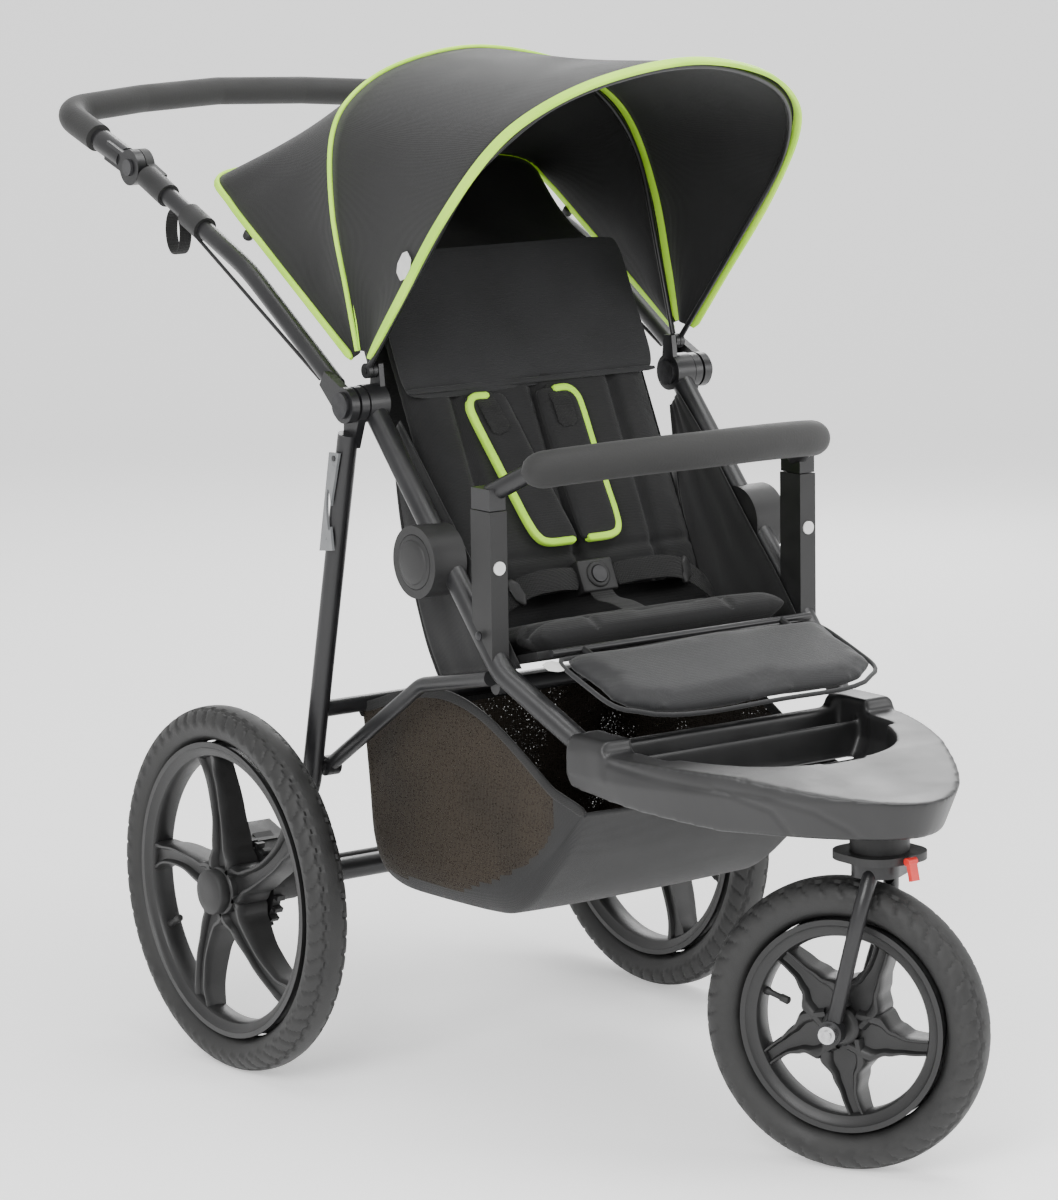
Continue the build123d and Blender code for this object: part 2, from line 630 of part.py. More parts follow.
# ================================================================ wheels
def wheel_solids(wheel_r, tyre_w, rim_r, rim_in_r, hub_r_out, bore_r, phase):
    """Tyre and rim of a wheel about the X axis at the origin."""
    profile = Plane(origin=(0, 0, 0), x_dir=(0, 0, 1), z_dir=(0, 1, 0))
    half = tyre_w / 2
    with BuildPart() as tyre:
        with BuildSketch(profile):
            with BuildLine():
                inside = Line((rim_r, half - 8), (rim_r, -half + 8))
                Spline(inside @ 1, (rim_r + (wheel_r - rim_r) * 0.45, -half),
                       (wheel_r, 0), (rim_r + (wheel_r - rim_r) * 0.45, half), inside @ 0)
            make_face()
        revolve(axis=Axis.X)
    with BuildPart() as rim:
        with BuildSketch(profile):
            with Locations(((rim_r + rim_in_r) / 2, 0)):
                Rectangle(rim_r - rim_in_r, 2 * half - 14)
            with Locations(((hub_r_out + bore_r) / 2, 0)):
                Rectangle(hub_r_out - bore_r, 2 * hub_half_l)
        revolve(axis=Axis.X)
        for number in range(spoke_count):
            turn = math.radians(phase + number * 360 / spoke_count)
            with BuildSketch(Plane(origin=(-spoke_t / 2, 0, 0), z_dir=(1, 0, 0),
                                   x_dir=(0, math.cos(turn), math.sin(turn)))):
                with BuildLine():
                    Polyline((hub_r_out - 4, -9), (rim_in_r * 0.62, -11), (rim_in_r + 2, -24),
                             (rim_in_r + 2, 24), (rim_in_r * 0.62, 11), (hub_r_out - 4, 9),
                             close=True)
                make_face()
            extrude(amount=spoke_t)
    return tyre.part, rim.part


ring_r, ring_t, ring_root_r = 48, 10, 41.5
tooth_count, tooth_gap = 20, 9.5
brake_y, brake_z = axle_y + 45, axle_z
pawl_y, pawl_z = brake_y - 8, brake_z - 40
pawl_r = 3
brake_press = 15
press = math.radians(-brake_press)
dy, dz = pawl_y - brake_y, pawl_z - brake_z
seated = (brake_y + dy * math.cos(press) - dz * math.sin(press) - axle_y,
          brake_z + dy * math.sin(press) + dz * math.cos(press) - axle_z)
gap_phase = math.degrees(math.atan2(seated[1], seated[0]))
ring_inner_x = rear_wheel_x - hub_half_l - ring_t

rear_tyre, rear_rim = wheel_solids(rear_wheel_r, rear_tyre_w, rear_rim_r, rear_rim_in_r,
                                   24, axle_pin_r + running_gap, 12)
for side, sign in sides:
    spot = Pos(sign * rear_wheel_x, axle_y, axle_z)
    with BuildPart() as rear_tyre_placed:
        add(spot * rear_tyre)
    save(rear_tyre_placed, f"rear_tyre_{side}")
    with BuildPart() as rear_rim_placed:
        add(spot * rear_rim)
    save(rear_rim_placed, f"rear_rim_{side}")
    with BuildPart() as brake_ring:
        low = ring_inner_x if sign > 0 else -ring_inner_x - ring_t
        with BuildSketch(Plane.YZ.offset(low)):
            with Locations((axle_y, axle_z)):
                Circle(ring_r)
                Circle(axle_pin_r + running_gap, mode=Mode.SUBTRACT)
                with PolarLocations((ring_r + ring_root_r) / 2, tooth_count, start_angle=gap_phase):
                    Rectangle(ring_r - ring_root_r + 2, tooth_gap, mode=Mode.SUBTRACT)
        extrude(amount=ring_t)
    save(brake_ring, f"brake_ring_{side}")
    with BuildPart() as hub_cap:
        add(x_cylinder(axle_y, axle_z, 23, sign * (rear_wheel_x + hub_half_l), sign * (stub_end_x + 5)))
        add(x_cylinder(axle_y, axle_z, axle_pin_r + running_gap, sign * rear_wheel_x,
                       sign * (stub_end_x + 1)), mode=Mode.SUBTRACT)
    save(hub_cap, f"hub_cap_{side}")

# Brake: a bar behind the axle with a pedal and, at each end, a pawl pin beside the toothed ring.
brake_bar_d = 12
arm_t = 6
with BuildPart() as brake_pedal:
    bar_end = ring_inner_x - 2
    add(x_cylinder(brake_y, brake_z, brake_bar_d / 2, -bar_end, bar_end))
    for side, sign in sides:
        low = bar_end - arm_t if sign > 0 else -bar_end
        add(side_plate([(brake_y - 6, brake_z), (brake_y + 6, brake_z),
                        (pawl_y + 5, pawl_z - 5), (pawl_y - 5, pawl_z - 5)], low, arm_t))
        add(x_cylinder(pawl_y, pawl_z, pawl_r, sign * (bar_end - arm_t),
                       sign * (ring_inner_x + ring_t - 1)))
    pedal_y, pedal_z = brake_y + 46, brake_z + 30
    add(side_plate([(brake_y - 5, brake_z + 3), (brake_y + 5, brake_z - 4),
                    (pedal_y, pedal_z - 4), (pedal_y, pedal_z + 3)], -204, 24))
    with Locations(Location((-192, pedal_y + 8, pedal_z), (18, 0, 0))):
        Box(56, 42, 7)
save(brake_pedal, "brake_pedal")


# ================================================================ fork and front wheel
def steered(solid):
    """Turn a solid about the steering axis to where the front wheel stands."""
    return solid.rotate(Axis((0, steer_y, 0), (0, 0, 1)), swivel_rest)


front_hub_y, front_hub_z = steer_y + trail, front_wheel_r
fork_half_w = 42
blade_r = 8
crown_low = front_wheel_r * 2 + 6
fork_gap = 1
front_pin_r = 5
with BuildPart() as fork_straight:
    with BuildSketch(Plane.XY.offset(crown_low)):
        with Locations((0, steer_y)):
            RectangleRounded(60, 50, 20)
    extrude(amount=head_low - crown_low - fork_gap)
    with Locations((0, steer_y, crown_low)):
        Cylinder(stem_r, nose_low - crown_low + 12,
                 align=(Align.CENTER, Align.CENTER, Align.MIN))
    for side, sign in sides:
        add(smooth_tube([(sign * 22, steer_y, crown_low + 6), (sign * 38, steer_y + 3, crown_low - 22),
                         (sign * fork_half_w, steer_y + 14, crown_low - 70),
                         (sign * fork_half_w, front_hub_y, front_hub_z)], 2 * blade_r, None))
        add(x_cylinder(front_hub_y, front_hub_z, 13, sign * (fork_half_w - 7),
                       sign * (fork_half_w + 7)))
        add(x_cylinder(front_hub_y, front_hub_z, front_pin_r, sign * (fork_half_w - 20),
                       sign * (fork_half_w + 20)), mode=Mode.SUBTRACT)
        # Clear of the tyre.
    add(x_cylinder(front_hub_y, front_hub_z, front_wheel_r + 4, -front_tyre_w / 2 - 3,
                   front_tyre_w / 2 + 3), mode=Mode.SUBTRACT)
with BuildPart() as fork:
    add(steered(fork_straight.part))
save(fork, "fork")

with BuildPart() as front_axle_straight:
    add(x_cylinder(front_hub_y, front_hub_z, front_pin_r, -fork_half_w - 16, fork_half_w + 16))
    for side, sign in sides:
        add(x_cylinder(front_hub_y, front_hub_z, 9, sign * (fork_half_w + 7), sign * (fork_half_w + 14)))
with BuildPart() as front_axle:
    add(steered(front_axle_straight.part))
save(front_axle, "front_axle")

front_tyre, front_rim = wheel_solids(front_wheel_r, front_tyre_w, front_rim_r, front_rim_in_r,
                                     18, front_pin_r + running_gap, 5)
front_spot = Pos(0, front_hub_y, front_hub_z)
with BuildPart() as front_tyre_placed:
    add(steered(front_spot * front_tyre))
save(front_tyre_placed, "front_tyre")
with BuildPart() as front_rim_placed:
    add(steered(front_spot * front_rim))
save(front_rim_placed, "front_rim")

# Swivel lock: a small lever on the front of the steering head.
lock_y, lock_z = steer_y - 42 - 5, head_low + 4
with BuildPart() as swivel_lock:
    add(x_cylinder(lock_y, lock_z, 4, -6, 6))
    with Locations(Location((0, lock_y - 3, lock_z - 9), (-14, 0, 0))):
        Box(10, 5, 20)
save(swivel_lock, "swivel_lock")

# ================================================================ canopy
bow_d = 6
canopy_half_w = 206
canopy_t = 2
front_bow_lean, mid_bow_lean, rear_edge_lean = -42, 16, 57
front_bow_h, mid_bow_h, rear_edge_h = 428, 330, 352
round_bow = ((1, 0.5), (0.93, 0.73), (0.77, 0.86), (0.46, 0.955), (0, 1))
square_bow = ((1, 0.6), (0.998, 0.82), (0.95, 0.95), (0.6, 0.99), (0, 1))


def lean_plane(lean):
    """A plane through the canopy pivot, leaning back by an angle from upright."""
    a = math.radians(lean)
    return Plane(origin=(0, canopy_y, canopy_z), x_dir=(1, 0, 0),
                 z_dir=(0, -math.cos(a), math.sin(a)))


def bow_points(shape, half_w, height):
    """Points of an arch, from the left foot's shoulder over the top to the right one."""
    one = [(half_w * u, height * v) for u, v in shape]
    return one + [(-u, v) for u, v in reversed(one[:-1])]


def bow_solid(lean, height, half_w, shape, eye_x, foot):
    """A bent wire bow with an eye at each foot."""
    plane = lean_plane(lean)
    points = [plane.from_local_coords((u, v, 0)) for u, v in bow_points(shape, half_w, height)]
    up = plane.y_dir
    with BuildPart() as bow:
        with BuildLine() as path:
            arch = Spline(*points, tangents=[up, up * -1])
            Line(plane.from_local_coords((half_w, foot, 0)), arch @ 0)
            Line(arch @ 1, plane.from_local_coords((-half_w, foot, 0)))
        wire = path.wire()
        with BuildSketch(Plane(origin=wire @ 0, z_dir=wire % 0)):
            Circle(bow_d / 2)
        sweep(path=wire)
        for side, sign in sides:
            add(x_cylinder(canopy_y, canopy_z, bow_eye_r, sign * eye_x, sign * (eye_x + bow_eye_t)))
            add(x_cylinder(canopy_y, canopy_z, canopy_pin_r + running_gap, sign * (eye_x - 1),
                           sign * (eye_x + bow_eye_t + 1)), mode=Mode.SUBTRACT)
    return bow.part


with BuildPart() as mid_bow:
    add(bow_solid(mid_bow_lean, mid_bow_h, mid_eye_x + bow_eye_t / 2, round_bow, mid_eye_x, 6))
save(mid_bow, "mid_bow")
with BuildPart() as front_bow:
    add(bow_solid(front_bow_lean, front_bow_h, front_eye_x + bow_eye_t / 2, round_bow,
                  front_eye_x, 6))
save(front_bow, "front_bow")


def canopy_panel(front, rear, foot):
    """A thin arched skin between two bows; each bow is (lean, height, shape)."""
    solids = []
    for grow in (canopy_t, 0):
        half_w = canopy_half_w + 6 + grow
        with BuildPart() as fan:
            for lean, height, shape in (front, rear):
                plane = lean_plane(lean)
                with BuildSketch(plane):
                    with BuildLine():
                        arch = Spline(*bow_points(shape, half_w, height + 6 + grow),
                                      tangents=[(0, 1), (0, -1)])
                        low = foot if grow else foot - 6
                        right_leg = Line((half_w, low), arch @ 0)
                        left_leg = Line(arch @ 1, (-half_w, low))
                        Line(left_leg @ 1, right_leg @ 0)
                    make_face()
            loft(ruled=True)
        solids.append(fan.part)
    return solids[0] - solids[1]


with BuildPart() as canopy_front:
    add(canopy_panel((front_bow_lean, front_bow_h, round_bow), (mid_bow_lean, mid_bow_h, round_bow), 24))
save(canopy_front, "canopy_front")
with BuildPart() as canopy_rear:
    add(canopy_panel((mid_bow_lean + 0.3, mid_bow_h, round_bow),
                     (rear_edge_lean, rear_edge_h, square_bow), 24))
save(canopy_rear, "canopy_rear")


# ================================================================ backrest
def back_point(up, ahead):
    """(Y, Z) at a distance up the backrest board and in front of it."""
    a = math.radians(recline)
    return (seat_rear_y + up * math.sin(a) - ahead * math.cos(a),
            seat_rear_z + 6 + up * math.cos(a) + ahead * math.sin(a))


def back_slab(rear, front, low, high, half_w, offset=0):
    """A slab over the backrest plane."""
    corners = [back_point(low, rear), back_point(high, rear), back_point(high, front),
               back_point(low, front)]
    return Pos(offset, 0, 0) * side_plate(corners, -half_w, 2 * half_w)


back_low = pad_t + board_t + 10
with BuildPart() as back_board:
    add(back_slab(0, board_t, 12, back_len, seat_half_w - 4))
    # Two arms reach down to the hinge pins.
    for side, sign in sides:
        arm_in, arm_out = seat_half_w - 11, seat_half_w - 4
        low = arm_in if sign > 0 else -arm_out
        add(x_cylinder(recline_y, recline_z, recline_pin_r + 2, sign * arm_in, sign * arm_out))
        add(side_plate([back_point(0, -recline_pin_r), back_point(24, 0), back_point(24, board_t),
                        back_point(0, recline_pin_r)], low, arm_out - arm_in))
        add(x_cylinder(recline_y, recline_z, recline_pin_r, sign * arm_in,
                       sign * (ear_outer_x + 0.5)))
save(back_board, "back_board")
with BuildPart() as back_pad:
    add(back_slab(board_t, board_t + pad_t, back_low, back_len - 5, seat_half_w - 4))
    fillet(back_pad.edges().filter_by(Axis.X).group_by(Axis.Y)[0], 8)
save(back_pad, "back_pad")
flap_low, flap_t = 285, 6
with BuildPart() as head_flap:
    add(back_slab(board_t + pad_t, board_t + pad_t + flap_t, flap_low, back_len - 5,
                  seat_half_w - 10))
save(head_flap, "head_flap")
strap_x, strap_half_w, shoulder_t = 48, 24, 12
with BuildPart() as shoulder_straps:
    for side, sign in sides:
        add(back_slab(board_t + pad_t, board_t + pad_t + shoulder_t, 110, flap_low - 4,
                      strap_half_w, sign * strap_x))
save(shoulder_straps, "shoulder_straps")

# ================================================================ footrest
rest_hinge_y, rest_hinge_z = seat_front_y - 8, seat_front_z + 6
rest_drop = 19
rest_len, rest_t, rest_half_w = 146, 22, 176
rest_pin_r = 4


def rest_point(out, up):
    """(Y, Z) at a distance forward down the footrest and above its plane."""
    a = math.radians(rest_drop)
    return (rest_hinge_y - out * math.cos(a) - up * math.sin(a),
            rest_hinge_z - out * math.sin(a) + up * math.cos(a))


with BuildPart() as footrest_frame:
    add(x_cylinder(rest_hinge_y, rest_hinge_z, rest_pin_r, -rest_half_w + 6, rest_half_w - 6))
    for side, sign in sides:
        add(bent_tube([(sign * 130, rest_hinge_y, rest_hinge_z), (sign * 130, *rest_point(rest_len - 30, 0))],
                      8, 0))
    add(x_cylinder(*rest_point(rest_len - 30, 0), 4, -134, 134))
save(footrest_frame, "footrest_frame")
with BuildPart() as footrest_pad:
    add(side_plate([rest_point(8, -rest_t / 2), rest_point(rest_len, -rest_t / 2),
                    rest_point(rest_len, rest_t / 2), rest_point(8, rest_t / 2)],
                   -rest_half_w, 2 * rest_half_w))
    fillet(footrest_pad.edges().filter_by(Axis.X), 9)
    fillet(footrest_pad.edges().group_by(Axis.X)[0], 2)
    fillet(footrest_pad.edges().group_by(Axis.X)[-1], 2)
    add(footrest_frame.part, mode=Mode.SUBTRACT)
save(footrest_pad, "footrest_pad")

# ================================================================ bumper bar
bumper_x, bumper_front_y, bumper_z = 190, -266, 700
bumper_end_y, bumper_end_z = -226, 692
bumper_tube_d, bumper_foam_d = 18, 38
spigot_x = front_tube_x


def bumper_arc(reach):
    """The bar's centre line as a shallow arch, reach being its half width."""
    return [(-reach, bumper_end_y, bumper_end_z), (-reach * 0.6, -254, 698),
            (0, bumper_front_y, bumper_z), (reach * 0.6, -254, 698), (reach, bumper_end_y, bumper_end_z)]


with BuildPart() as bumper_tube:
    add(smooth_tube(bumper_arc(bumper_x), bumper_tube_d, None))
    for side, sign in sides:
        with Locations((sign * spigot_x, socket_y, socket_top - (spigot_l - 1) / 2 + 1)):
            Box(spigot_w, spigot_d, spigot_l)
        with Locations((sign * spigot_x, socket_y, socket_top + 12)):
            Box(socket_w - 1, socket_d - 2, 22)
        add(bent_tube([(sign * (spigot_x - 2), socket_y, socket_top + 16),
                       (sign * (bumper_x - 6), bumper_end_y - 2, bumper_end_z)], 20, 0))
    add(bumper_tube.part & block((0, -200, 700), (2 * (hub_outer_x), 300, 200)), mode=Mode.REPLACE)
save(bumper_tube, "bumper_tube")
with BuildPart() as bumper_foam:
    add(smooth_tube(bumper_arc(bumper_x + 2), bumper_foam_d, None))
    add(bumper_tube.part, mode=Mode.SUBTRACT)
save(bumper_foam, "bumper_foam")
for side, sign in sides:
    with BuildPart() as bumper_button:
        face_y = socket_y - socket_d / 2
        with Locations(Location((sign * spigot_x, face_y - bumper_button_stand + 2.5, bumper_button_z), (90, 0, 0))):
            Cylinder(bumper_button_r, 5)
    save(bumper_button, f"bumper_button_{side}")
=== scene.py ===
import math
import random
import bmesh
import bpy
from mathutils import Matrix, Vector


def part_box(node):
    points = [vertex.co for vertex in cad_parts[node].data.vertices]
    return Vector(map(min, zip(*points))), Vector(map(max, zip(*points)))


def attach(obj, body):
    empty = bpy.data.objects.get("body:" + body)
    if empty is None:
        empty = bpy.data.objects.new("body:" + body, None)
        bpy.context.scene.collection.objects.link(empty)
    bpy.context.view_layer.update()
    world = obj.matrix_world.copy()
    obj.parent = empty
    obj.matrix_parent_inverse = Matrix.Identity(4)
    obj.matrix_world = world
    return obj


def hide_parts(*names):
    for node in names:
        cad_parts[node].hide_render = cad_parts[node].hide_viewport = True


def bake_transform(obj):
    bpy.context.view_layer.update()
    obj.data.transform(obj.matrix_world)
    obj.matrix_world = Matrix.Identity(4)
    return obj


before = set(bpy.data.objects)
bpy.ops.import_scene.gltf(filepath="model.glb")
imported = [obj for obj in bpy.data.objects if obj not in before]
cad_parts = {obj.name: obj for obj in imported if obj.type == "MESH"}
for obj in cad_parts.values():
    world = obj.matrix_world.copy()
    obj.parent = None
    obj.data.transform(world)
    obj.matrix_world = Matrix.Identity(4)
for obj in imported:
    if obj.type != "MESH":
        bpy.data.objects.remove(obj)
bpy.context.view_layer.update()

bpy.ops.object.select_all(action="DESELECT")

# ---------------------------------------------------------------- studio
# A pale floor sweeps up into a backdrop with one soft curve.  It is lit by a bright surround,
# one large soft box on the left of the camera, one overhead and a low fill.
floor_half, wall_reach, wall_height, sweep_r = 9.0, 5.0, 9.0, 2.2
view_turn = math.radians(-37.337)
bpy.ops.mesh.primitive_plane_add(size=2 * floor_half, location=(0, 0, 0))
floor = bpy.context.object
floor.name = "studio_floor"
bpy.ops.object.mode_set(mode="EDIT")
mesh = bmesh.from_edit_mesh(floor.data)
for vert in mesh.verts:
    if vert.co.y > 0:
        vert.co.y = wall_reach
far_edge = [e for e in mesh.edges if all(v.co.y > wall_reach - 0.1 for v in e.verts)]
bpy.ops.mesh.select_all(action="DESELECT")
for edge in far_edge:
    edge.select = True
bmesh.update_edit_mesh(floor.data)
bpy.ops.mesh.extrude_region_move(TRANSFORM_OT_translate={"value": (0, 0, wall_height)})
bpy.ops.mesh.select_all(action="DESELECT")
mesh = bmesh.from_edit_mesh(floor.data)
for edge in mesh.edges:
    edge.select = all(v.co.y > wall_reach - 0.1 and v.co.z < 0.1 for v in edge.verts)
bmesh.update_edit_mesh(floor.data)
bpy.ops.mesh.bevel(offset=sweep_r, segments=16, affect="EDGES")
bpy.ops.object.mode_set(mode="OBJECT")
floor.rotation_euler = (0, 0, view_turn)
bpy.ops.object.select_all(action="DESELECT")
floor.select_set(True)
bpy.context.view_layer.objects.active = floor
bpy.ops.object.transform_apply(location=True, rotation=True, scale=True)
bpy.ops.object.shade_smooth()

backdrop = bpy.data.materials.new("studio_paper")
backdrop.use_nodes = True
paper = backdrop.node_tree.nodes["Principled BSDF"]
paper.inputs["Base Color"].default_value = (0.94, 0.94, 0.94, 1)
paper.inputs["Roughness"].default_value = 0.28
paper.inputs["Emission Color"].default_value = (1, 1, 1, 1)
paper.inputs["Emission Strength"].default_value = 0.42
floor.data.materials.append(backdrop)

world = bpy.data.worlds.new("studio_surround")
world.use_nodes = True
world.node_tree.nodes["Background"].inputs["Color"].default_value = (1, 1, 1, 1)
world.node_tree.nodes["Background"].inputs["Strength"].default_value = 0.90
bpy.context.scene.world = world


def soft_box(name, place, aim, size, power):
    lamp = bpy.data.lights.new(name, "AREA")
    lamp.shape, lamp.size, lamp.size_y, lamp.energy = "RECTANGLE", size[0], size[1], power
    holder = bpy.data.objects.new(name, lamp)
    bpy.context.scene.collection.objects.link(holder)
    holder.location = place
    holder.rotation_euler = (Vector(aim) - Vector(place)).to_track_quat("-Z", "Y").to_euler()


soft_box("key_box", (-3.2, -2.2, 2.6), (0, 0, 0.6), (1.8, 2.2), 120)
soft_box("top_box", (0.6, -0.6, 3.6), (0, 0, 0.5), (2.6, 2.6), 110)
soft_box("fill_box", (2.6, -3.4, 1.4), (0, -0.2, 0.5), (1.6, 1.6), 45)
soft_box("rim_box", (2.4, 2.6, 2.4), (0, 0, 0.7), (1.6, 1.6), 60)

camera_data = bpy.data.cameras.new("camera")
camera_data.lens, camera_data.sensor_width = 135.89, 36
camera_data.shift_x, camera_data.shift_y = -0.0899, 0.0232
camera_data.clip_end = 60
camera = bpy.data.objects.new("camera", camera_data)
camera.matrix_world = (Matrix.Translation((-2.8422, -3.8809, 1.3348))
                       @ Matrix.Rotation(view_turn, 4, "Z")
                       @ Matrix.Rotation(math.radians(90 - 10.100), 4, "X")
                       @ Matrix.Rotation(math.radians(-0.670), 4, "Z"))
bpy.context.scene.collection.objects.link(camera)
bpy.context.scene.camera = camera


# ---------------------------------------------------------------- frame tubes
# Thin steel tube, bent on a machine and powder coated in a satin black.  The coat has a fine
# orange-peel grain and goes a little duller where hands and straps rub it.
def finish(name, dark, light, patch, rough, grain, depth, metallic=0.0, sheen=0.0):
    """A surface that drifts between two tones, with a fine grain pressed into it."""
    material = bpy.data.materials.new(name)
    material.use_nodes = True
    nodes, links = material.node_tree.nodes, material.node_tree.links
    shader = nodes["Principled BSDF"]
    place = nodes.new("ShaderNodeTexCoord")
    clouds = nodes.new("ShaderNodeTexNoise")
    clouds.inputs["Scale"].default_value = 1 / patch
    clouds.inputs["Detail"].default_value = 5
    links.new(place.outputs["Object"], clouds.inputs["Vector"])
    spread = nodes.new("ShaderNodeMapRange")
    spread.inputs["From Min"].default_value, spread.inputs["From Max"].default_value = 0.32, 0.68
    links.new(clouds.outputs["Fac"], spread.inputs["Value"])
    tone = nodes.new("ShaderNodeMix")
    tone.data_type = "RGBA"
    tone.inputs[6].default_value, tone.inputs[7].default_value = (*dark, 1), (*light, 1)
    links.new(spread.outputs["Result"], tone.inputs[0])
    links.new(tone.outputs[2], shader.inputs["Base Color"])
    gloss = nodes.new("ShaderNodeMapRange")
    gloss.inputs["To Min"].default_value, gloss.inputs["To Max"].default_value = rough
    links.new(spread.outputs["Result"], gloss.inputs["Value"])
    links.new(gloss.outputs["Result"], shader.inputs["Roughness"])
    pits = nodes.new("ShaderNodeTexNoise")
    pits.name = "grain"
    pits.inputs["Scale"].default_value = 1 / grain
    pits.inputs["Detail"].default_value = 2
    links.new(place.outputs["Object"], pits.inputs["Vector"])
    relief = nodes.new("ShaderNodeBump")
    relief.inputs["Distance"].default_value = depth
    relief.inputs["Strength"].default_value = 0.6
    links.new(pits.outputs["Fac"], relief.inputs["Height"])
    links.new(relief.outputs["Normal"], shader.inputs["Normal"])
    shader.inputs["Metallic"].default_value = metallic
    shader.inputs["Sheen Weight"].default_value = sheen
    return material


def paint(material, *nodes):
    """Give CAD nodes a finish."""
    for node in nodes:
        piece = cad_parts[node]
        piece.data.materials.clear()
        piece.data.materials.append(material)


powder_coat = finish("powder_coat", (0.010, 0.010, 0.011), (0.017, 0.017, 0.018), 0.05,
                     (0.30, 0.42), 0.0016, 0.0002)
paint(powder_coat, "front_tube_right", "front_tube_left", "push_tube_right", "push_tube_left",
      "rear_leg_right", "rear_leg_left", "leg_cross_tubes", "seat_cross_tube", "brace_right",
      "brace_left", "handle_tube", "mid_bow", "front_bow", "footrest_frame", "bumper_tube", "fork")

# ---------------------------------------------------------------- moulded fittings
# Glass-filled nylon, injection moulded with a fine sparked grain, screwed or riveted to the tubes.
moulding = finish("moulding", (0.011, 0.011, 0.0112), (0.019, 0.019, 0.0192), 0.03,
                  (0.46, 0.60), 0.0009, 0.0003)
paint(moulding, "side_discs", "bumper_sockets", "steering_head", "grip_joints",
      "fold_release_right", "fold_release_left", "axle_housings", "brake_ring_right",
      "brake_ring_left", "seat_board",
      "brake_pedal")
dark_button = finish("dark_button", (0.030, 0.030, 0.032), (0.045, 0.045, 0.047), 0.01,
                     (0.35, 0.45), 0.0008, 0.0002)
paint(dark_button, "grip_button_right", "grip_button_left", "buckle_button")
white_button = finish("white_button", (0.70, 0.70, 0.69), (0.80, 0.80, 0.79), 0.01,
                      (0.35, 0.50), 0.0008, 0.0002)
paint(white_button, "bumper_button_right", "bumper_button_left")

# The pins, rivets and axle are zinc-plated steel, faintly brushed.
plated_steel = finish("plated_steel", (0.46, 0.46, 0.47), (0.66, 0.66, 0.67), 0.006,
                      (0.24, 0.40), 0.0007, 0.0002, metallic=1.0)
blackened_steel = finish("blackened_steel", (0.030, 0.030, 0.032), (0.055, 0.055, 0.058), 0.01,
                         (0.28, 0.40), 0.0007, 0.0002, metallic=0.7)
paint(plated_steel, "front_axle")
paint(blackened_steel, "fold_pins")

# The transport latch is a smooth grey moulding, the swivel lock a red one.
latch_grey = finish("latch_grey", (0.155, 0.16, 0.165), (0.20, 0.205, 0.21), 0.02,
                    (0.26, 0.38), 0.001, 0.0001)
paint(latch_grey, "transport_latch")
lever_red = finish("lever_red", (0.62, 0.015, 0.012), (0.75, 0.03, 0.02), 0.01,
                   (0.30, 0.42), 0.0008, 0.0002)
paint(lever_red, "swivel_lock")


def bare(piece):
    """Leave only this piece selected and active."""
    bpy.ops.object.mode_set(mode="OBJECT") if bpy.context.object else None
    bpy.ops.object.select_all(action="DESELECT")
    piece.select_set(True)
    bpy.context.view_layer.objects.active = piece


def turned(name, centre, radii, lengths, axis=(1, 0, 0), sides=40, round_edge=0.0008):
    """A turned or moulded round part: a disc extruded step by step along an axis."""
    bpy.ops.object.select_all(action="DESELECT")
    bpy.ops.mesh.primitive_circle_add(vertices=sides, radius=radii[0], fill_type="NGON")
    piece = bpy.context.object
    piece.name = name
    bpy.ops.object.mode_set(mode="EDIT")
    for step, radius, before in zip(lengths, radii[1:], radii):
        bpy.ops.mesh.extrude_region_move(TRANSFORM_OT_translate={"value": (0, 0, step)})
        bpy.ops.transform.resize(value=(radius / before, radius / before, 1),
                                 center_override=(0, 0, 0))
    bpy.ops.mesh.select_all(action="SELECT")
    bpy.ops.mesh.normals_make_consistent(inside=False)
    bpy.ops.object.mode_set(mode="OBJECT")
    turn = Vector(axis).to_track_quat("Z", "Y").to_matrix().to_4x4()
    piece.data.transform(Matrix.Translation(centre) @ turn)
    if round_edge:
        rounding = piece.modifiers.new("round", "BEVEL")
        rounding.width, rounding.segments, rounding.limit_method = round_edge, 2, "ANGLE"
        bare(piece)
        bpy.ops.object.modifier_apply(modifier="round")
    bare(piece)
    bpy.ops.object.shade_smooth_by_angle(angle=math.radians(35))
    return piece


def dress(piece, material, body=None):
    """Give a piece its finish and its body."""
    piece.data.materials.clear()
    piece.data.materials.append(material)
    if body:
        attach(piece, body)
    return piece


# Round covers snap into the housings at the sides of the seat: a shallow dish with a raised boss.
disc_low, disc_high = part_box("side_discs")
disc_y, disc_z = (disc_low.y + disc_high.y) / 2, (disc_low.z + disc_high.z) / 2
for side, sign in (("right", -1), ("left", 1)):
    cover = turned("side_cover_" + side, (sign * 0.2295, disc_y, disc_z),
                   (0.0285, 0.0285, 0.0255, 0.0235, 0.0225, 0.0150), (0.0030, 0.0008, 0, 0.0018, 0.0014),
                   (sign, 0, 0), 48, 0.0006)
    dress(cover, moulding, "front_frame")
    boss = turned("side_screw_" + side, (sign * 0.2165, -0.175, 0.520),
                  (0.0046, 0.0046, 0.0030), (0.0022, 0.0008), (sign, 0, 0), 20, 0.0003)
    dress(boss, blackened_steel, "front_frame")

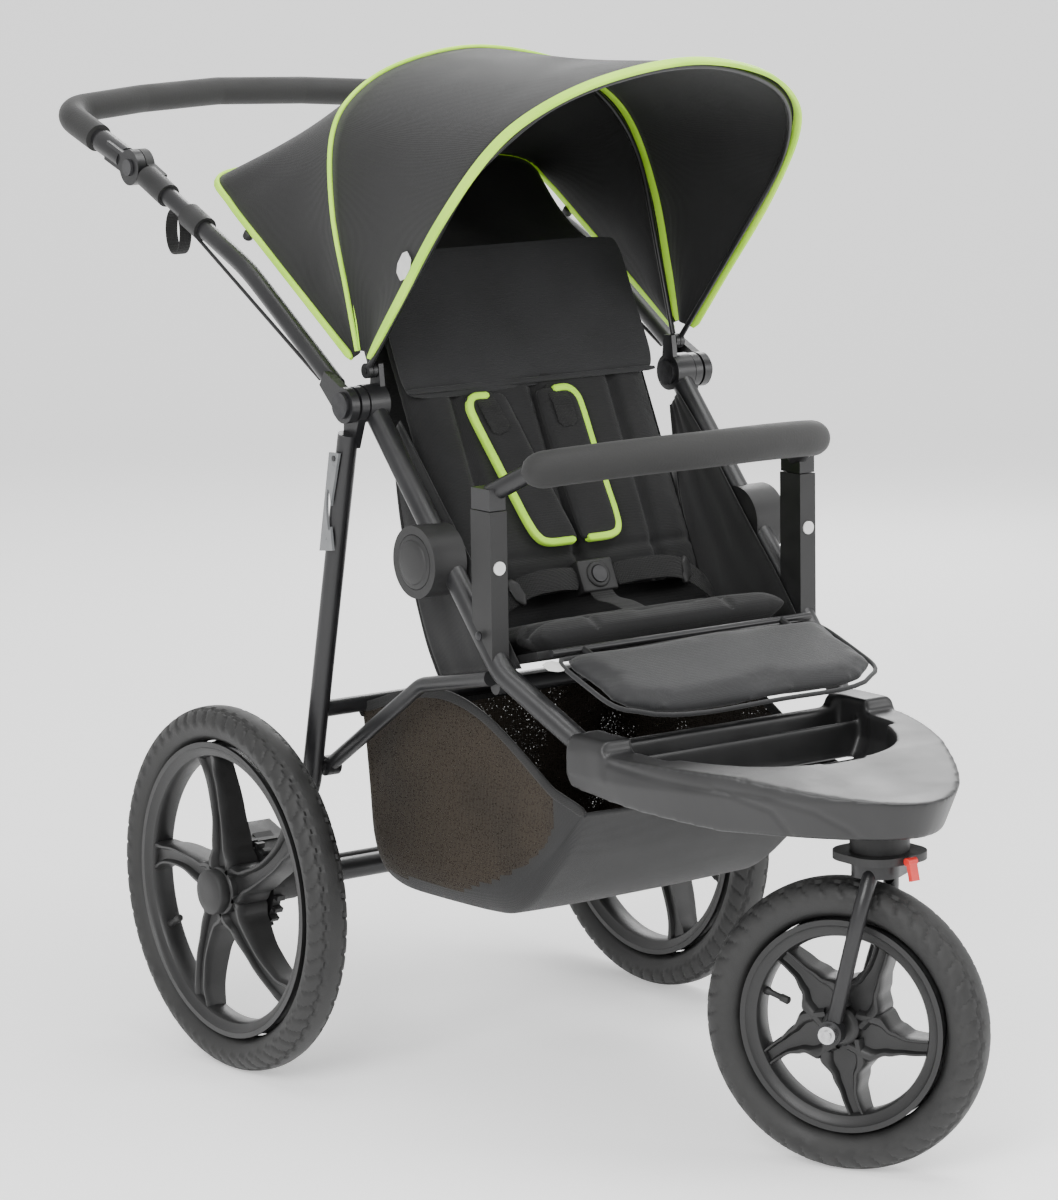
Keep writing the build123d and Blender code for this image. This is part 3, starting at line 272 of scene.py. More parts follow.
# ---------------------------------------------------------------- nose
# One large moulding: two arms that take the front tubes, an open bin for small things and the
# seat of the steering head.  It is smooth, with drawn-in flanks and two swept styling lines.
flank_lines = (((-0.352, 0.412), (-0.420, 0.402), (-0.480, 0.396), (-0.522, 0.380), (-0.540, 0.352)),
               ((-0.470, 0.400), (-0.520, 0.394), (-0.560, 0.382), (-0.588, 0.364), (-0.600, 0.350)))
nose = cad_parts["nose_tray"].copy()
nose.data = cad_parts["nose_tray"].data.copy()
nose.name = "nose_moulding"
nose.parent = None
for key in list(nose.keys()):
    del nose[key]
bpy.context.scene.collection.objects.link(nose)
bare(nose)
bpy.ops.object.mode_set(mode="EDIT")
bpy.ops.mesh.select_all(action="SELECT")
bpy.ops.mesh.remove_doubles(threshold=0.00002)
bpy.ops.object.mode_set(mode="OBJECT")
skin = nose.modifiers.new("skin", "REMESH")
skin.mode, skin.voxel_size = "VOXEL", 0.0028
bpy.ops.object.modifier_apply(modifier="skin")
ease = nose.modifiers.new("ease", "SMOOTH")
ease.factor, ease.iterations = 0.5, 9
bpy.ops.object.modifier_apply(modifier="ease")


def line_gap(y, z, path):
    """Distance in the side view from a point to a line of points."""
    best = 1.0
    for (ay, az), (by, bz) in zip(path, path[1:]):
        along = max(0.0, min(1.0, ((y - ay) * (by - ay) + (z - az) * (bz - az))
                             / ((by - ay) ** 2 + (bz - az) ** 2)))
        best = min(best, math.hypot(y - ay - along * (by - ay), z - az - along * (bz - az)))
    return best


nose.data.update()
facing = [vert.normal.copy() for vert in nose.data.vertices]
for vert, normal in zip(nose.data.vertices, facing):
    ahead = max(0.0, -0.36 - vert.co.y) / 0.24
    vert.co.x *= 1 - 0.16 * min(1.0, ahead) ** 1.3
    vert.co.z -= 0.010 * min(1.0, ahead) * max(0.0, vert.co.z - 0.36) / 0.06
    x, y, z = vert.co
    out = Vector((x, min(0.0, y + 0.42), 0))
    reach = out.length
    if reach > 0.02:
        out.normalize()
        drawn_in = 0.42 * max(0.0, 0.392 - z) * min(1.0, reach / 0.12)
        vert.co -= out * drawn_in
    if normal.dot(out) > 0.45 and y < -0.33:
        for path in flank_lines:
            vert.co -= out * 0.0019 * math.exp(-(line_gap(y, z, path) / 0.0026) ** 2)
smoother = nose.modifiers.new("smoother", "SUBSURF")
smoother.levels = smoother.render_levels = 1
bpy.ops.object.modifier_apply(modifier="smoother")
bpy.ops.object.shade_smooth()
satin_moulding = finish("satin_moulding", (0.012, 0.012, 0.0125), (0.019, 0.019, 0.0195), 0.06,
                        (0.36, 0.46), 0.0008, 0.00018)
dress(nose, satin_moulding, "front_frame")
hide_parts("nose_tray")

# ---------------------------------------------------------------- tyres
# Air-filled rubber tyres with a raised zigzag tread, open shoulder teeth and thin rings round
# the side walls.  Each is moulded in one piece and held on its rim by the air in its tube.
def shaped_grid(name, across, along, place, smooth=True):
    """A grid whose points are set by place(u, v), both 0 to 1; edges that meet are welded."""
    bpy.ops.object.select_all(action="DESELECT")
    bpy.ops.mesh.primitive_grid_add(x_subdivisions=across, y_subdivisions=along, size=1)
    piece = bpy.context.object
    piece.name = name
    for vert in piece.data.vertices:
        vert.co = place(vert.co.x + 0.5, vert.co.y + 0.5)
    bpy.ops.object.mode_set(mode="EDIT")
    bpy.ops.mesh.select_all(action="SELECT")
    bpy.ops.mesh.remove_doubles(threshold=0.00002)
    bpy.ops.mesh.dissolve_degenerate(threshold=0.00001)
    bpy.ops.mesh.select_all(action="SELECT")
    bpy.ops.mesh.normals_make_consistent(inside=False)
    bpy.ops.object.mode_set(mode="OBJECT")
    if smooth:
        bpy.ops.object.shade_smooth()
    return piece


def saw(turns):
    """A zigzag between 0 and 1."""
    part = turns % 1.0
    return 2 * part if part < 0.5 else 2 - 2 * part


def tread_height(turns, side):
    """Height of the rubber at a place round the tyre and across its section, side -1 to 1."""
    edge = abs(side)
    shoulder = 0.50 + 0.11 * saw(turns + (0.5 if side > 0 else 0))
    if edge > shoulder:
        ring = max(0.0, 1 - abs(edge - 0.80) / 0.025) * 0.0007
        return ring
    groove = abs(edge - (0.14 + 0.07 * saw(turns + (0.25 if side > 0 else 0.75))))
    cut = abs(((turns + 1.6 * edge) % 1.0) - 0.5)
    if groove < 0.028 or (edge > 0.22 and cut < 0.09):
        return 0.0002
    return 0.0024


def tyre(name, centre, radius, width, rim_r, pitches, axle, node, body):
    """A tyre about an axle direction, in the place of its CAD node."""
    low, high = rim_r + 0.001, radius - 0.0024
    mid, half_h, half_w = (low + high) / 2, (high - low) / 2, width / 2 - 0.0010
    turn = Vector(axle).to_track_quat("Z", "Y").to_matrix().to_4x4()
    spot = Matrix.Translation(centre) @ turn

    def place(u, v):
        side = 2 * v - 1
        swing = side * math.pi * 0.93
        height = tread_height(u * pitches, side / 0.93 if abs(side) < 0.93 else 1.0)
        bulge = 1.0 - 0.10 * max(0.0, -math.cos(swing))
        r = mid + (half_h + height) * math.cos(swing) * (1.0 if math.cos(swing) > 0 else 0.94)
        across = (half_w + height * 0.5) * bulge * math.copysign(abs(math.sin(swing)) ** 0.86,
                                                                 math.sin(swing))
        return spot @ Vector((r * math.cos(2 * math.pi * u), r * math.sin(2 * math.pi * u), across))

    piece = shaped_grid(name, 8 * pitches, 44, place)
    bare(piece)
    bpy.ops.object.shade_smooth_by_angle(angle=math.radians(32))
    dress(piece, rubber, body)
    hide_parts(node)
    return piece


rubber = finish("rubber", (0.0125, 0.0125, 0.0125), (0.024, 0.024, 0.0235), 0.035,
                (0.50, 0.66), 0.0014, 0.0004)
rear_x, rear_y, rear_z = 0.287, 0.195, 0.200
rear_r, rear_w, rear_rim_r, rear_rim_in = 0.200, 0.046, 0.160, 0.145
front_r, front_w, front_rim_r, front_rim_in = 0.150, 0.050, 0.107, 0.091
steer_turn = math.radians(28)
front_axle = Vector((math.cos(steer_turn), math.sin(steer_turn), 0))
front_low, front_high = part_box("front_tyre")
front_hub = (front_low + front_high) / 2
for side, sign in (("right", -1), ("left", 1)):
    tyre("tyre_" + side, (sign * rear_x, rear_y, rear_z), rear_r, rear_w, rear_rim_r, 60,
         (sign, 0, 0), "rear_tyre_" + side, "rear_wheel_" + side)
tyre("tyre_front", front_hub, front_r, front_w, front_rim_r, 44, -front_axle,
     "front_tyre", "front_wheel")

# ---------------------------------------------------------------- rims
# Each rim is one nylon moulding: a deep hoop and five hollow-faced spokes that spread into a
# star at the hub and run slightly curved out to the hoop.
def rim(name, centre, axle, rim_r, rim_in, hoop_w, hub_r, spoke, sweep, phase, node, body):
    """Hoop, star and hub of one wheel; spoke lists (radius, half width, half depth)."""
    turn = Vector(axle).to_track_quat("Z", "Y").to_matrix().to_4x4()
    spot = Matrix.Translation(centre) @ turn
    half = hoop_w / 2
    hoop = ((rim_r, -half), (rim_r + 0.002, -half), (rim_r + 0.002, -half + 0.004),
            (rim_r - 0.006, -half + 0.006), (rim_r - 0.006, half - 0.006),
            (rim_r + 0.002, half - 0.004), (rim_r + 0.002, half), (rim_r, half),
            (rim_r - 0.0035, half), (rim_r - 0.006, half - 0.003), (rim_in + 0.002, half - 0.005),
            (rim_in, half - 0.008), (rim_in - 0.001, 0), (rim_in, -half + 0.008),
            (rim_in + 0.002, -half + 0.005), (rim_r - 0.006, -half + 0.003), (rim_r - 0.0035, -half))

    def hoop_place(u, v):
        r, across = hoop[round(v * len(hoop)) % len(hoop)]
        return spot @ Vector((r * math.cos(2 * math.pi * u), r * math.sin(2 * math.pi * u), across))

    pieces = [shaped_grid(name, 120, len(hoop), hoop_place)]
    section = ((-1, -1), (-1, -0.45), (-1, 0.3), (-0.97, 0.82), (-0.86, 1), (-0.66, 1), (-0.56, 0.90),
               (-0.46, 0.62), (0, 0.55), (0.46, 0.62), (0.56, 0.90), (0.66, 1), (0.86, 1),
               (0.97, 0.82), (1, 0.3), (1, -0.45), (1, -1), (0.6, -1), (0.45, -0.7), (-0.45, -0.7),
               (-0.6, -1))

    def spoke_shape(radius):
        for (ra, wa, da), (rb, wb, db) in zip(spoke, spoke[1:]):
            if radius <= rb:
                share = (radius - ra) / (rb - ra)
                share = share * share * (3 - 2 * share)
                return wa + (wb - wa) * share, da + (db - da) * share
        return spoke[-1][1:]

    first, last = spoke[0][0], spoke[-1][0]
    for number in range(5):
        start = phase + number * 2 * math.pi / 5

        def spoke_place(u, v):
            radius = first + (last - first) * v
            half_w, half_d = spoke_shape(radius)
            a, b = section[round(u * len(section)) % len(section)]
            swing = start + sweep * ((radius - first) / (last - first)) ** 2
            along = Vector((math.cos(swing), math.sin(swing), 0))
            across = Vector((-math.sin(swing), math.cos(swing), 0))
            return spot @ (along * radius + across * a * half_w + Vector((0, 0, b * half_d)))

        pieces.append(shaped_grid(name + "_spoke", len(section), 26, spoke_place))
    deep = spoke[0][2]
    pieces.append(turned(name + "_hub", spot @ Vector((0, 0, -deep - 0.004)),
                         (hub_r * 0.55, hub_r * 0.9, hub_r, hub_r, hub_r * 0.8, hub_r * 0.3),
                         (0.002, 0.003, 2 * deep - 0.002, 0.004, 0.001), Vector(axle), 48, 0.001))
    bpy.ops.object.select_all(action="DESELECT")
    for piece in pieces:
        piece.select_set(True)
    bpy.context.view_layer.objects.active = pieces[0]
    bpy.ops.object.join()
    bare(pieces[0])
    bpy.ops.object.shade_smooth_by_angle(angle=math.radians(38))
    dress(pieces[0], rim_moulding, body)
    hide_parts(node)
    return spot


rim_moulding = finish("rim_moulding", (0.012, 0.012, 0.0122), (0.019, 0.019, 0.0192), 0.05,
                      (0.36, 0.48), 0.0011, 0.00025)
rear_spoke = ((0.014, 0.020, 0.019), (0.030, 0.0215, 0.019), (0.046, 0.0135, 0.018),
              (0.085, 0.0105, 0.0155), (0.125, 0.0115, 0.0135), (0.1455, 0.0165, 0.0115))
front_spoke = ((0.012, 0.022, 0.019), (0.036, 0.0262, 0.0185), (0.052, 0.0150, 0.017),
               (0.070, 0.0098, 0.0155), (0.0915, 0.0090, 0.0135))
valve_length = 0.028
for side, sign in (("right", -1), ("left", 1)):
    spot = rim("rim_" + side, (sign * rear_x, rear_y, rear_z), (sign, 0, 0), rear_rim_r,
               rear_rim_in, 0.036, 0.026, rear_spoke, 0.20, math.radians(20),
               "rear_rim_" + side, "rear_wheel_" + side)
    cap = turned("hub_dome_" + side, (sign * 0.3085, rear_y, rear_z),
                 (0.0250, 0.0250, 0.0240, 0.0200, 0.0120), (0.0080, 0.0030, 0.0018, 0.0009),
                 (sign, 0, 0), 48, 0.0007)
    dress(cap, moulding, "rear_wheel_" + side)
    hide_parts("hub_cap_" + side)
    inward = spot.to_3x3() @ Vector((-math.cos(3.6), -math.sin(3.6), 0.12))
    foot = spot @ Vector((rear_rim_in * math.cos(3.6), rear_rim_in * math.sin(3.6), 0.002))
    valve = turned("valve_" + side, foot, (0.0042, 0.0042, 0.0031, 0.0031, 0.0041, 0.0041, 0.0028),
                   (0.004, 0.003, valve_length * 0.4, 0.0005, 0.009, 0.0012), inward, 18, 0.0003)
    dress(valve, rubber, "rear_wheel_" + side)
spot = rim("rim_front", front_hub, -front_axle, front_rim_r, front_rim_in, 0.038, 0.020,
           front_spoke, 0.12, math.radians(-16), "front_rim", "front_wheel")
foot = spot @ Vector((front_rim_in * math.cos(2.86), front_rim_in * math.sin(2.86), 0.002))
inward = spot.to_3x3() @ Vector((-math.cos(2.86), -math.sin(2.86), 0.15))
valve = turned("valve_front", foot, (0.0042, 0.0042, 0.0031, 0.0031, 0.0041, 0.0041, 0.0028),
               (0.004, 0.003, valve_length * 0.4, 0.0005, 0.009, 0.0012), inward, 18, 0.0003)
dress(valve, rubber, "front_wheel")

# ---------------------------------------------------------------- canopy
# Coated polyester in two gores, cut on a curve and sewn over three wire bows.  A bright
# yellow-green binding closes the front and rear edges, and piping of the same tape marks the
# middle seam.
def cloth(name, dark, light, patch, rough, thread, depth, sheen):
    """A woven finish: crossed threads over the grain of the plain finish."""
    material = finish(name, dark, light, patch, rough, thread, depth, sheen=sheen)
    nodes, links = material.node_tree.nodes, material.node_tree.links
    place = next(n for n in nodes if n.type == "TEX_COORD")
    total = nodes["grain"].outputs["Fac"]
    for way in ("X", "Y", "Z"):
        threads = nodes.new("ShaderNodeTexWave")
        threads.bands_direction = way
        threads.inputs["Scale"].default_value = 0.314 / thread
        threads.inputs["Distortion"].default_value = 0.6
        links.new(place.outputs["Object"], threads.inputs["Vector"])
        add = nodes.new("ShaderNodeMath")
        add.operation = "ADD"
        links.new(total, add.inputs[0])
        links.new(threads.outputs["Fac"], add.inputs[1])
        total = add.outputs["Value"]
    relief = next(n for n in nodes if n.type == "BUMP")
    links.new(total, relief.inputs["Height"])
    shader = next(n for n in nodes if n.type == "BSDF_PRINCIPLED")
    shader.inputs["Specular IOR Level"].default_value = 0.22
    return material


pivot_y, pivot_z = 0.034, 0.772
hood_half_w, hood_foot = 0.213, 0.022
round_arch = ((1, 0.25), (1, 0.5), (0.93, 0.73), (0.77, 0.86), (0.46, 0.955), (0, 1))
square_arch = ((1, 0.3), (1, 0.6), (0.998, 0.82), (0.95, 0.95), (0.6, 0.99), (0, 1))


def smooth_line(points, count):
    """Points evenly spaced along a smooth curve through the given ones."""
    ends = [points[0] * 2 - points[1]] + list(points) + [points[-1] * 2 - points[-2]]
    fine = []
    for a, b, c, d in zip(ends, ends[1:], ends[2:], ends[3:]):
        for step in range(24):
            t = step / 24
            fine.append(0.5 * (2 * b + (c - a) * t + (2 * a - 5 * b + 4 * c - d) * t * t
                               + (3 * b - a - 3 * c + d) * t ** 3))
    fine.append(points[-1].copy())
    reach = [0.0]
    for a, b in zip(fine, fine[1:]):
        reach.append(reach[-1] + (b - a).length)
    even, at = [], 0
    for number in range(count):
        want = reach[-1] * number / (count - 1)
        while at < len(fine) - 2 and reach[at + 1] < want:
            at += 1
        gap = reach[at + 1] - reach[at]
        even.append(fine[at].lerp(fine[at + 1], (want - reach[at]) / gap if gap else 0))
    return even


def arch(lean, height, shape, count=121, grow=0.0, foot=hood_foot):
    """A bow's line from the right foot over the top to the left foot."""
    a = math.radians(lean)
    side = [(1, foot / (height + 0.007 + grow))] + list(shape)
    flat = [(-u, v) for u, v in side] + [(u, v) for u, v in reversed(side[:-1])]
    line = [Vector((u * (hood_half_w + grow), v * (height + 0.007 + grow))) for u, v in flat]
    return [Vector((p.x, pivot_y + p.y * math.sin(a), pivot_z + p.y * math.cos(a)))
            for p in smooth_line(line, count)]


front_arch = arch(-42, 0.428, round_arch)
mid_arch = arch(16, 0.330, round_arch)
rear_arch = arch(57, 0.352, square_arch)


def gore(name, near, far, sag, seed):
    """The cloth between two bows, drawn in a little between them and faintly puckered."""
    count = len(near) - 1
    random.seed(seed)
    waves = [(random.uniform(5, 11), random.uniform(0, 6.28), random.uniform(0.2, 0.5)) for _ in range(4)]

    def place(u, v):
        number = u * count
        low = min(int(number), count - 1)
        a = near[low].lerp(near[low + 1], number - low)
        b = far[low].lerp(far[low + 1], number - low)
        point = a.lerp(b, v)
        out = Vector((point.x * 0.8, point.y - pivot_y, point.z - pivot_z - 0.05)).normalized()
        pull = math.sin(math.pi * v)
        pucker = sum(k * math.sin(f * 6.28 * u + s + 3 * v) for f, s, k in waves)
        return point - out * pull * (sag + 0.0011 * pucker)

    piece = shaped_grid(name, count, 18, place)
    skin = piece.modifiers.new("skin", "SOLIDIFY")
    skin.thickness, skin.offset = 0.0012, 0
    bare(piece)
    bpy.ops.object.modifier_apply(modifier="skin")
    return piece


canopy_cloth = cloth("canopy_cloth", (0.0105, 0.0105, 0.0108), (0.0165, 0.0165, 0.0170), 0.09,
                     (0.62, 0.78), 0.0011, 0.00018, 0.12)
front_gore = gore("canopy_front_gore", mid_arch, front_arch, 0.006, 3)
rear_gore = gore("canopy_rear_gore", mid_arch, rear_arch, 0.005, 4)
dress(front_gore, canopy_cloth, None)
dress(rear_gore, canopy_cloth, None)
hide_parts("canopy_front")
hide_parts("canopy_rear")
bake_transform(front_gore)
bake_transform(rear_gore)


def band(name, line, across, half_w, half_t, closed=False, corner=0.45):
    """Tape or webbing along a line; across gives its width direction at each point."""
    count = len(line)
    ring = 12

    def place(u, v):
        number = round(v * (count if closed else count - 1))
        at = number % count
        ahead = line[(at + 1) % count if closed else min(at + 1, count - 1)]
        behind = line[(at - 1) % count if closed else max(at - 1, 0)]
        run = (ahead - behind).normalized()
        wide = across[at] - run * across[at].dot(run)
        wide.normalize()
        thick = run.cross(wide)
        turn = 2 * math.pi * (round(u * ring) % ring + 0.5) / ring
        c, s = math.cos(turn), math.sin(turn)
        shut = 1.0 if closed or 0 < number < count - 1 else 0.55
        return (line[at] + wide * half_w * shut * math.copysign(abs(c) ** corner, c)
                + thick * half_t * math.copysign(abs(s) ** corner, s))

    piece = shaped_grid(name, ring, count if closed else count - 1, place)
    if not closed:
        bare(piece)
        bpy.ops.object.mode_set(mode="EDIT")
        bpy.ops.mesh.select_all(action="SELECT")
        bpy.ops.mesh.fill_holes(sides=ring)
        bpy.ops.mesh.normals_make_consistent(inside=False)
        bpy.ops.object.mode_set(mode="OBJECT")
    bare(piece)
    bpy.ops.object.shade_smooth_by_angle(angle=math.radians(50))
    return piece


neon_tape = cloth("neon_tape", (0.42, 0.80, 0.035), (0.56, 0.93, 0.075), 0.05, (0.45, 0.60),
                  0.0012, 0.0002, 0.1)
shade = next(n for n in neon_tape.node_tree.nodes if n.type == "BSDF_PRINCIPLED")
# The tape's shader also emits a faint yellow-green glow: painted light, so the tape looks brighter than
# the lamps make it.
shade.inputs["Emission Color"].default_value = (0.45, 0.90, 0.03, 1)
shade.inputs["Emission Strength"].default_value = 0.16
front_edge = arch(-42, 0.428, round_arch, 141, 0.0006)
front_across = [(a - b).normalized() for a, b in zip(arch(-40, 0.424, round_arch, 141), front_edge)]
dress(band("front_binding", front_edge, front_across, 0.0062, 0.0024), neon_tape, "front_bow")
mid_edge = arch(16, 0.330, round_arch, 141, 0.0016)
mid_across = [(a - b).normalized() for a, b in zip(arch(20, 0.334, round_arch, 141), mid_edge)]
dress(band("middle_piping", mid_edge, mid_across, 0.0030, 0.0026, corner=0.9), neon_tape, "mid_bow")
inner_edge = arch(16, 0.330, round_arch, 141, -0.0026)
dress(band("inner_seam_tape", inner_edge, mid_across, 0.0050, 0.0008), neon_tape, "mid_bow")
rear_edge = arch(57, 0.352, square_arch, 141, 0.0006)
rear_across = [(a - b).normalized() for a, b in zip(arch(54, 0.350, square_arch, 141), rear_edge)]
dress(band("rear_binding", rear_edge, rear_across, 0.0042, 0.0022), neon_tape, "front_frame")

# Small moulded clips hold the rear corners of the canopy to the push tubes' line.
for side, number in (("right", 30), ("left", 110)):
    spot = rear_edge[number]
    clip = turned("canopy_clip_" + side, spot + Vector((0, 0.001, -0.003)),
                  (0.0050, 0.0058, 0.0058, 0.0040), (0.0015, 0.0060, 0.0020), (0, 0.6, -0.8), 20, 0.0005)
    dress(clip, moulding, "front_frame")

# ---------------------------------------------------------------- backrest and seat
# Polyester covers over wadding, turned and closed at a sewn edge.  Upright channels divide the
# backrest, two cross seams the seat.
lean_back = math.radians(25)
seat_run = Vector((0, -0.9715, 0.2370))
seat_rise = Vector((0, 0.2370, 0.9715))
seat_origin = Vector((0, -0.062, 0.458))
back_origin = Vector((0, -0.062, 0.464))
back_up = Vector((0, math.sin(lean_back), math.cos(lean_back)))
back_out = Vector((0, -math.cos(lean_back), math.sin(lean_back)))
side_way = Vector((1, 0, 0))


def pad(name, cuts, origin, along, out, length, half_w, low, high, pull=0.025, shape=None):
    """A stuffed pad: a divided block crowned in the middle and pulled in between its corners."""
    bpy.ops.object.select_all(action="DESELECT")
    bpy.ops.mesh.primitive_cube_add(size=2)
    piece = bpy.context.object
    piece.name = name
    bpy.ops.object.mode_set(mode="EDIT")
    bpy.ops.mesh.select_all(action="SELECT")
    bpy.ops.mesh.subdivide(number_cuts=cuts)
    bpy.ops.object.mode_set(mode="OBJECT")
    for vert in piece.data.vertices:
        a, b, c = vert.co
        soft = 0.36 + 0.64 * ((1 - abs(a) ** 5) * (1 - abs(b) ** 5)) ** 0.5
        round_off = 1 - 0.045 * (a * a * b * b) ** 3
        x = half_w * a * (1 - pull * (1 - b * b)) * round_off
        run = (length[0] + length[1]) / 2 + (length[1] - length[0]) / 2 * b * (
            1 - pull * (1 - a * a)) * round_off
        height = (low + high) / 2 + c * (high - low) / 2 * soft
        if shape:
            x, run, height = shape(a, b, c, x, run, height)
        vert.co = origin + side_way * x + along * run + out * height
    bpy.ops.object.shade_smooth()
    return piece


def refine(piece):
    """One subdivision, kept in the mesh."""
    bare(piece)
    finer = piece.modifiers.new("finer", "SUBSURF")
    finer.levels = finer.render_levels = 1
    bpy.ops.object.modifier_apply(modifier="finer")
    bpy.ops.object.shade_smooth()
    return piece


def fill(piece, cap, voxel=0.006):
    """Blow the cover up a little, as its wadding does, and keep it within cap of where it was."""
    bare(piece)
    skin = piece.modifiers.new("skin", "REMESH")
    skin.mode, skin.voxel_size = "VOXEL", voxel
    bpy.ops.object.modifier_apply(modifier="skin")
    before = [vert.co.copy() for vert in piece.data.vertices]
    cover = piece.modifiers.new("cover", "CLOTH")
    cover.settings.use_pressure = True
    cover.settings.uniform_pressure_force = 4
    cover.settings.effector_weights.gravity = 0
    cover.point_cache.frame_start, cover.point_cache.frame_end = 1, 20
    for number in range(1, 21):
        bpy.context.scene.frame_set(number)
    bpy.ops.object.modifier_apply(modifier="cover")
    bpy.context.scene.frame_set(1)
    for vert, rest in zip(piece.data.vertices, before):
        move = vert.co - rest
        if move.length > cap:
            vert.co = rest + move.normalized() * cap
    return refine(piece)


def sew(piece, origin, along, out, middle, seams):
    """Press sewn lines into the face of a pad; a seam is (way, place, depth, width)."""
    for vert in piece.data.vertices:
        offset = vert.co - origin
        if offset.dot(out) > middle:
            for way, spot, depth, width in seams:
                gap = (offset.x if way == "up" else offset.dot(along)) - spot
                vert.co -= out * depth * math.exp(-(gap / width) ** 2)
    return piece


seat_cloth = cloth("seat_cloth", (0.0115, 0.0115, 0.0118), (0.0185, 0.0185, 0.0190), 0.05,
                   (0.70, 0.86), 0.0013, 0.00025, 0.14)
back_pad = fill(pad("back_cover", 22, back_origin, back_up, back_out, (0.049, 0.447), 0.170,
                    0.010, 0.034), 0.006)
sew(back_pad, back_origin, back_up, back_out, 0.024,
    [("up", x, 0.0075, 0.006) for x in (-0.104, 0.0, 0.104)] + [("across", 0.10, 0.003, 0.005)])
dress(back_pad, seat_cloth, "backrest")
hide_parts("back_pad")
seat_pad = fill(pad("seat_cover", 18, seat_origin, seat_run, seat_rise, (0.021, 0.162), 0.172,
                    0.010, 0.034), 0.006)
sew(seat_pad, seat_origin, seat_run, seat_rise, 0.024,
    [("across", 0.055, 0.004, 0.005), ("across", 0.128, 0.006, 0.005), ("up", -0.088, 0.003, 0.005),
     ("up", 0.088, 0.003, 0.005)])
dress(seat_pad, seat_cloth, "front_frame")
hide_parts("seat_pad")
paint(seat_cloth, "back_board")

# The head flap is a thin, smoother panel that hangs over the top of the backrest.
flap_cloth = cloth("flap_cloth", (0.0165, 0.0167, 0.0175), (0.0235, 0.0238, 0.0250), 0.06,
                   (0.58, 0.74), 0.0010, 0.00015, 0.18)


def flap_shape(a, b, c, x, run, height):
    ripple = 0.0012 * math.sin(9 * a + 2 * b) + 0.0009 * math.sin(5 * a - 4 * b)
    return x, run + (0.004 * math.sin(2.4 * a) if b < 0 else 0), height + ripple * (1 - b) / 2


flap = pad("head_cover", 24, back_origin, back_up, back_out, (0.287, 0.449), 0.167, 0.0358, 0.0420,
           0.008, flap_shape)
refine(flap)
dress(flap, flap_cloth, "backrest")
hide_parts("head_flap")
hem_line = [back_origin + side_way * (0.164 * (2 * n / 40 - 1)) + back_up * 0.292 + back_out * 0.0423
            for n in range(41)]
dress(band("head_hem", hem_line, [back_up] * 41, 0.0028, 0.0012), flap_cloth, "backrest")

# ---------------------------------------------------------------- side panels and rear curtain
# Single layers of the seat cloth, sewn round the front tubes at the sides and hung from the
# canopy's rear edge down to the top of the backrest.
def thicken(piece, wall):
    """Give a single layer of cloth its thickness."""
    skin = piece.modifiers.new("skin", "SOLIDIFY")
    skin.thickness, skin.offset = wall, 0
    bare(piece)
    bpy.ops.object.modifier_apply(modifier="skin")
    return piece


def edge_line(points, count):
    return smooth_line([Vector((0, y, z)) for y, z in points], count)


for side, sign in (("right", -1), ("left", 1)):
    rear_line = edge_line(((0.021, 0.704), (0.004, 0.600), (-0.031, 0.502), (-0.057, 0.456)), 33)
    tube_line = edge_line(((0.008, 0.720), (-0.041, 0.670), (-0.151, 0.548), (-0.203, 0.486)), 33)

    def panel_place(u, v):
        at = round(u * 32)
        point = rear_line[at].lerp(tube_line[at], v)
        wave = 0.0006 * math.sin(11 * u + 5 * v) + 0.0004 * math.sin(19 * v - 4 * u)
        point.x = sign * (0.1849 + wave)
        return point

    panel = shaped_grid("side_panel_" + side, 32, 24, panel_place)
    thicken(panel, 0.0012)
    dress(panel, seat_cloth, "front_frame")
    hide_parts("side_panels")
    lip = [Vector((sign * 0.1849, p.y, p.z)) for p in rear_line]
    dress(band("side_piping_" + side, lip, [Vector((0, 1, 0))] * 33, 0.0022, 0.0018, corner=0.9),
          seat_cloth, "front_frame")


def curtain_place(u, v):
    top = rear_arch[34 + round(u * 52)]
    foot = back_origin + side_way * (0.168 * (2 * u - 1)) + back_up * 0.450 + back_out * 0.002
    point = top.lerp(foot, v)
    point.z -= 0.016 * math.sin(math.pi * v) + 0.0018 * math.sin(23 * u) * math.sin(math.pi * v)
    return point


curtain = shaped_grid("rear_curtain", 52, 20, curtain_place)
thicken(curtain, 0.0010)
dress(curtain, canopy_cloth, None)
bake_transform(curtain)

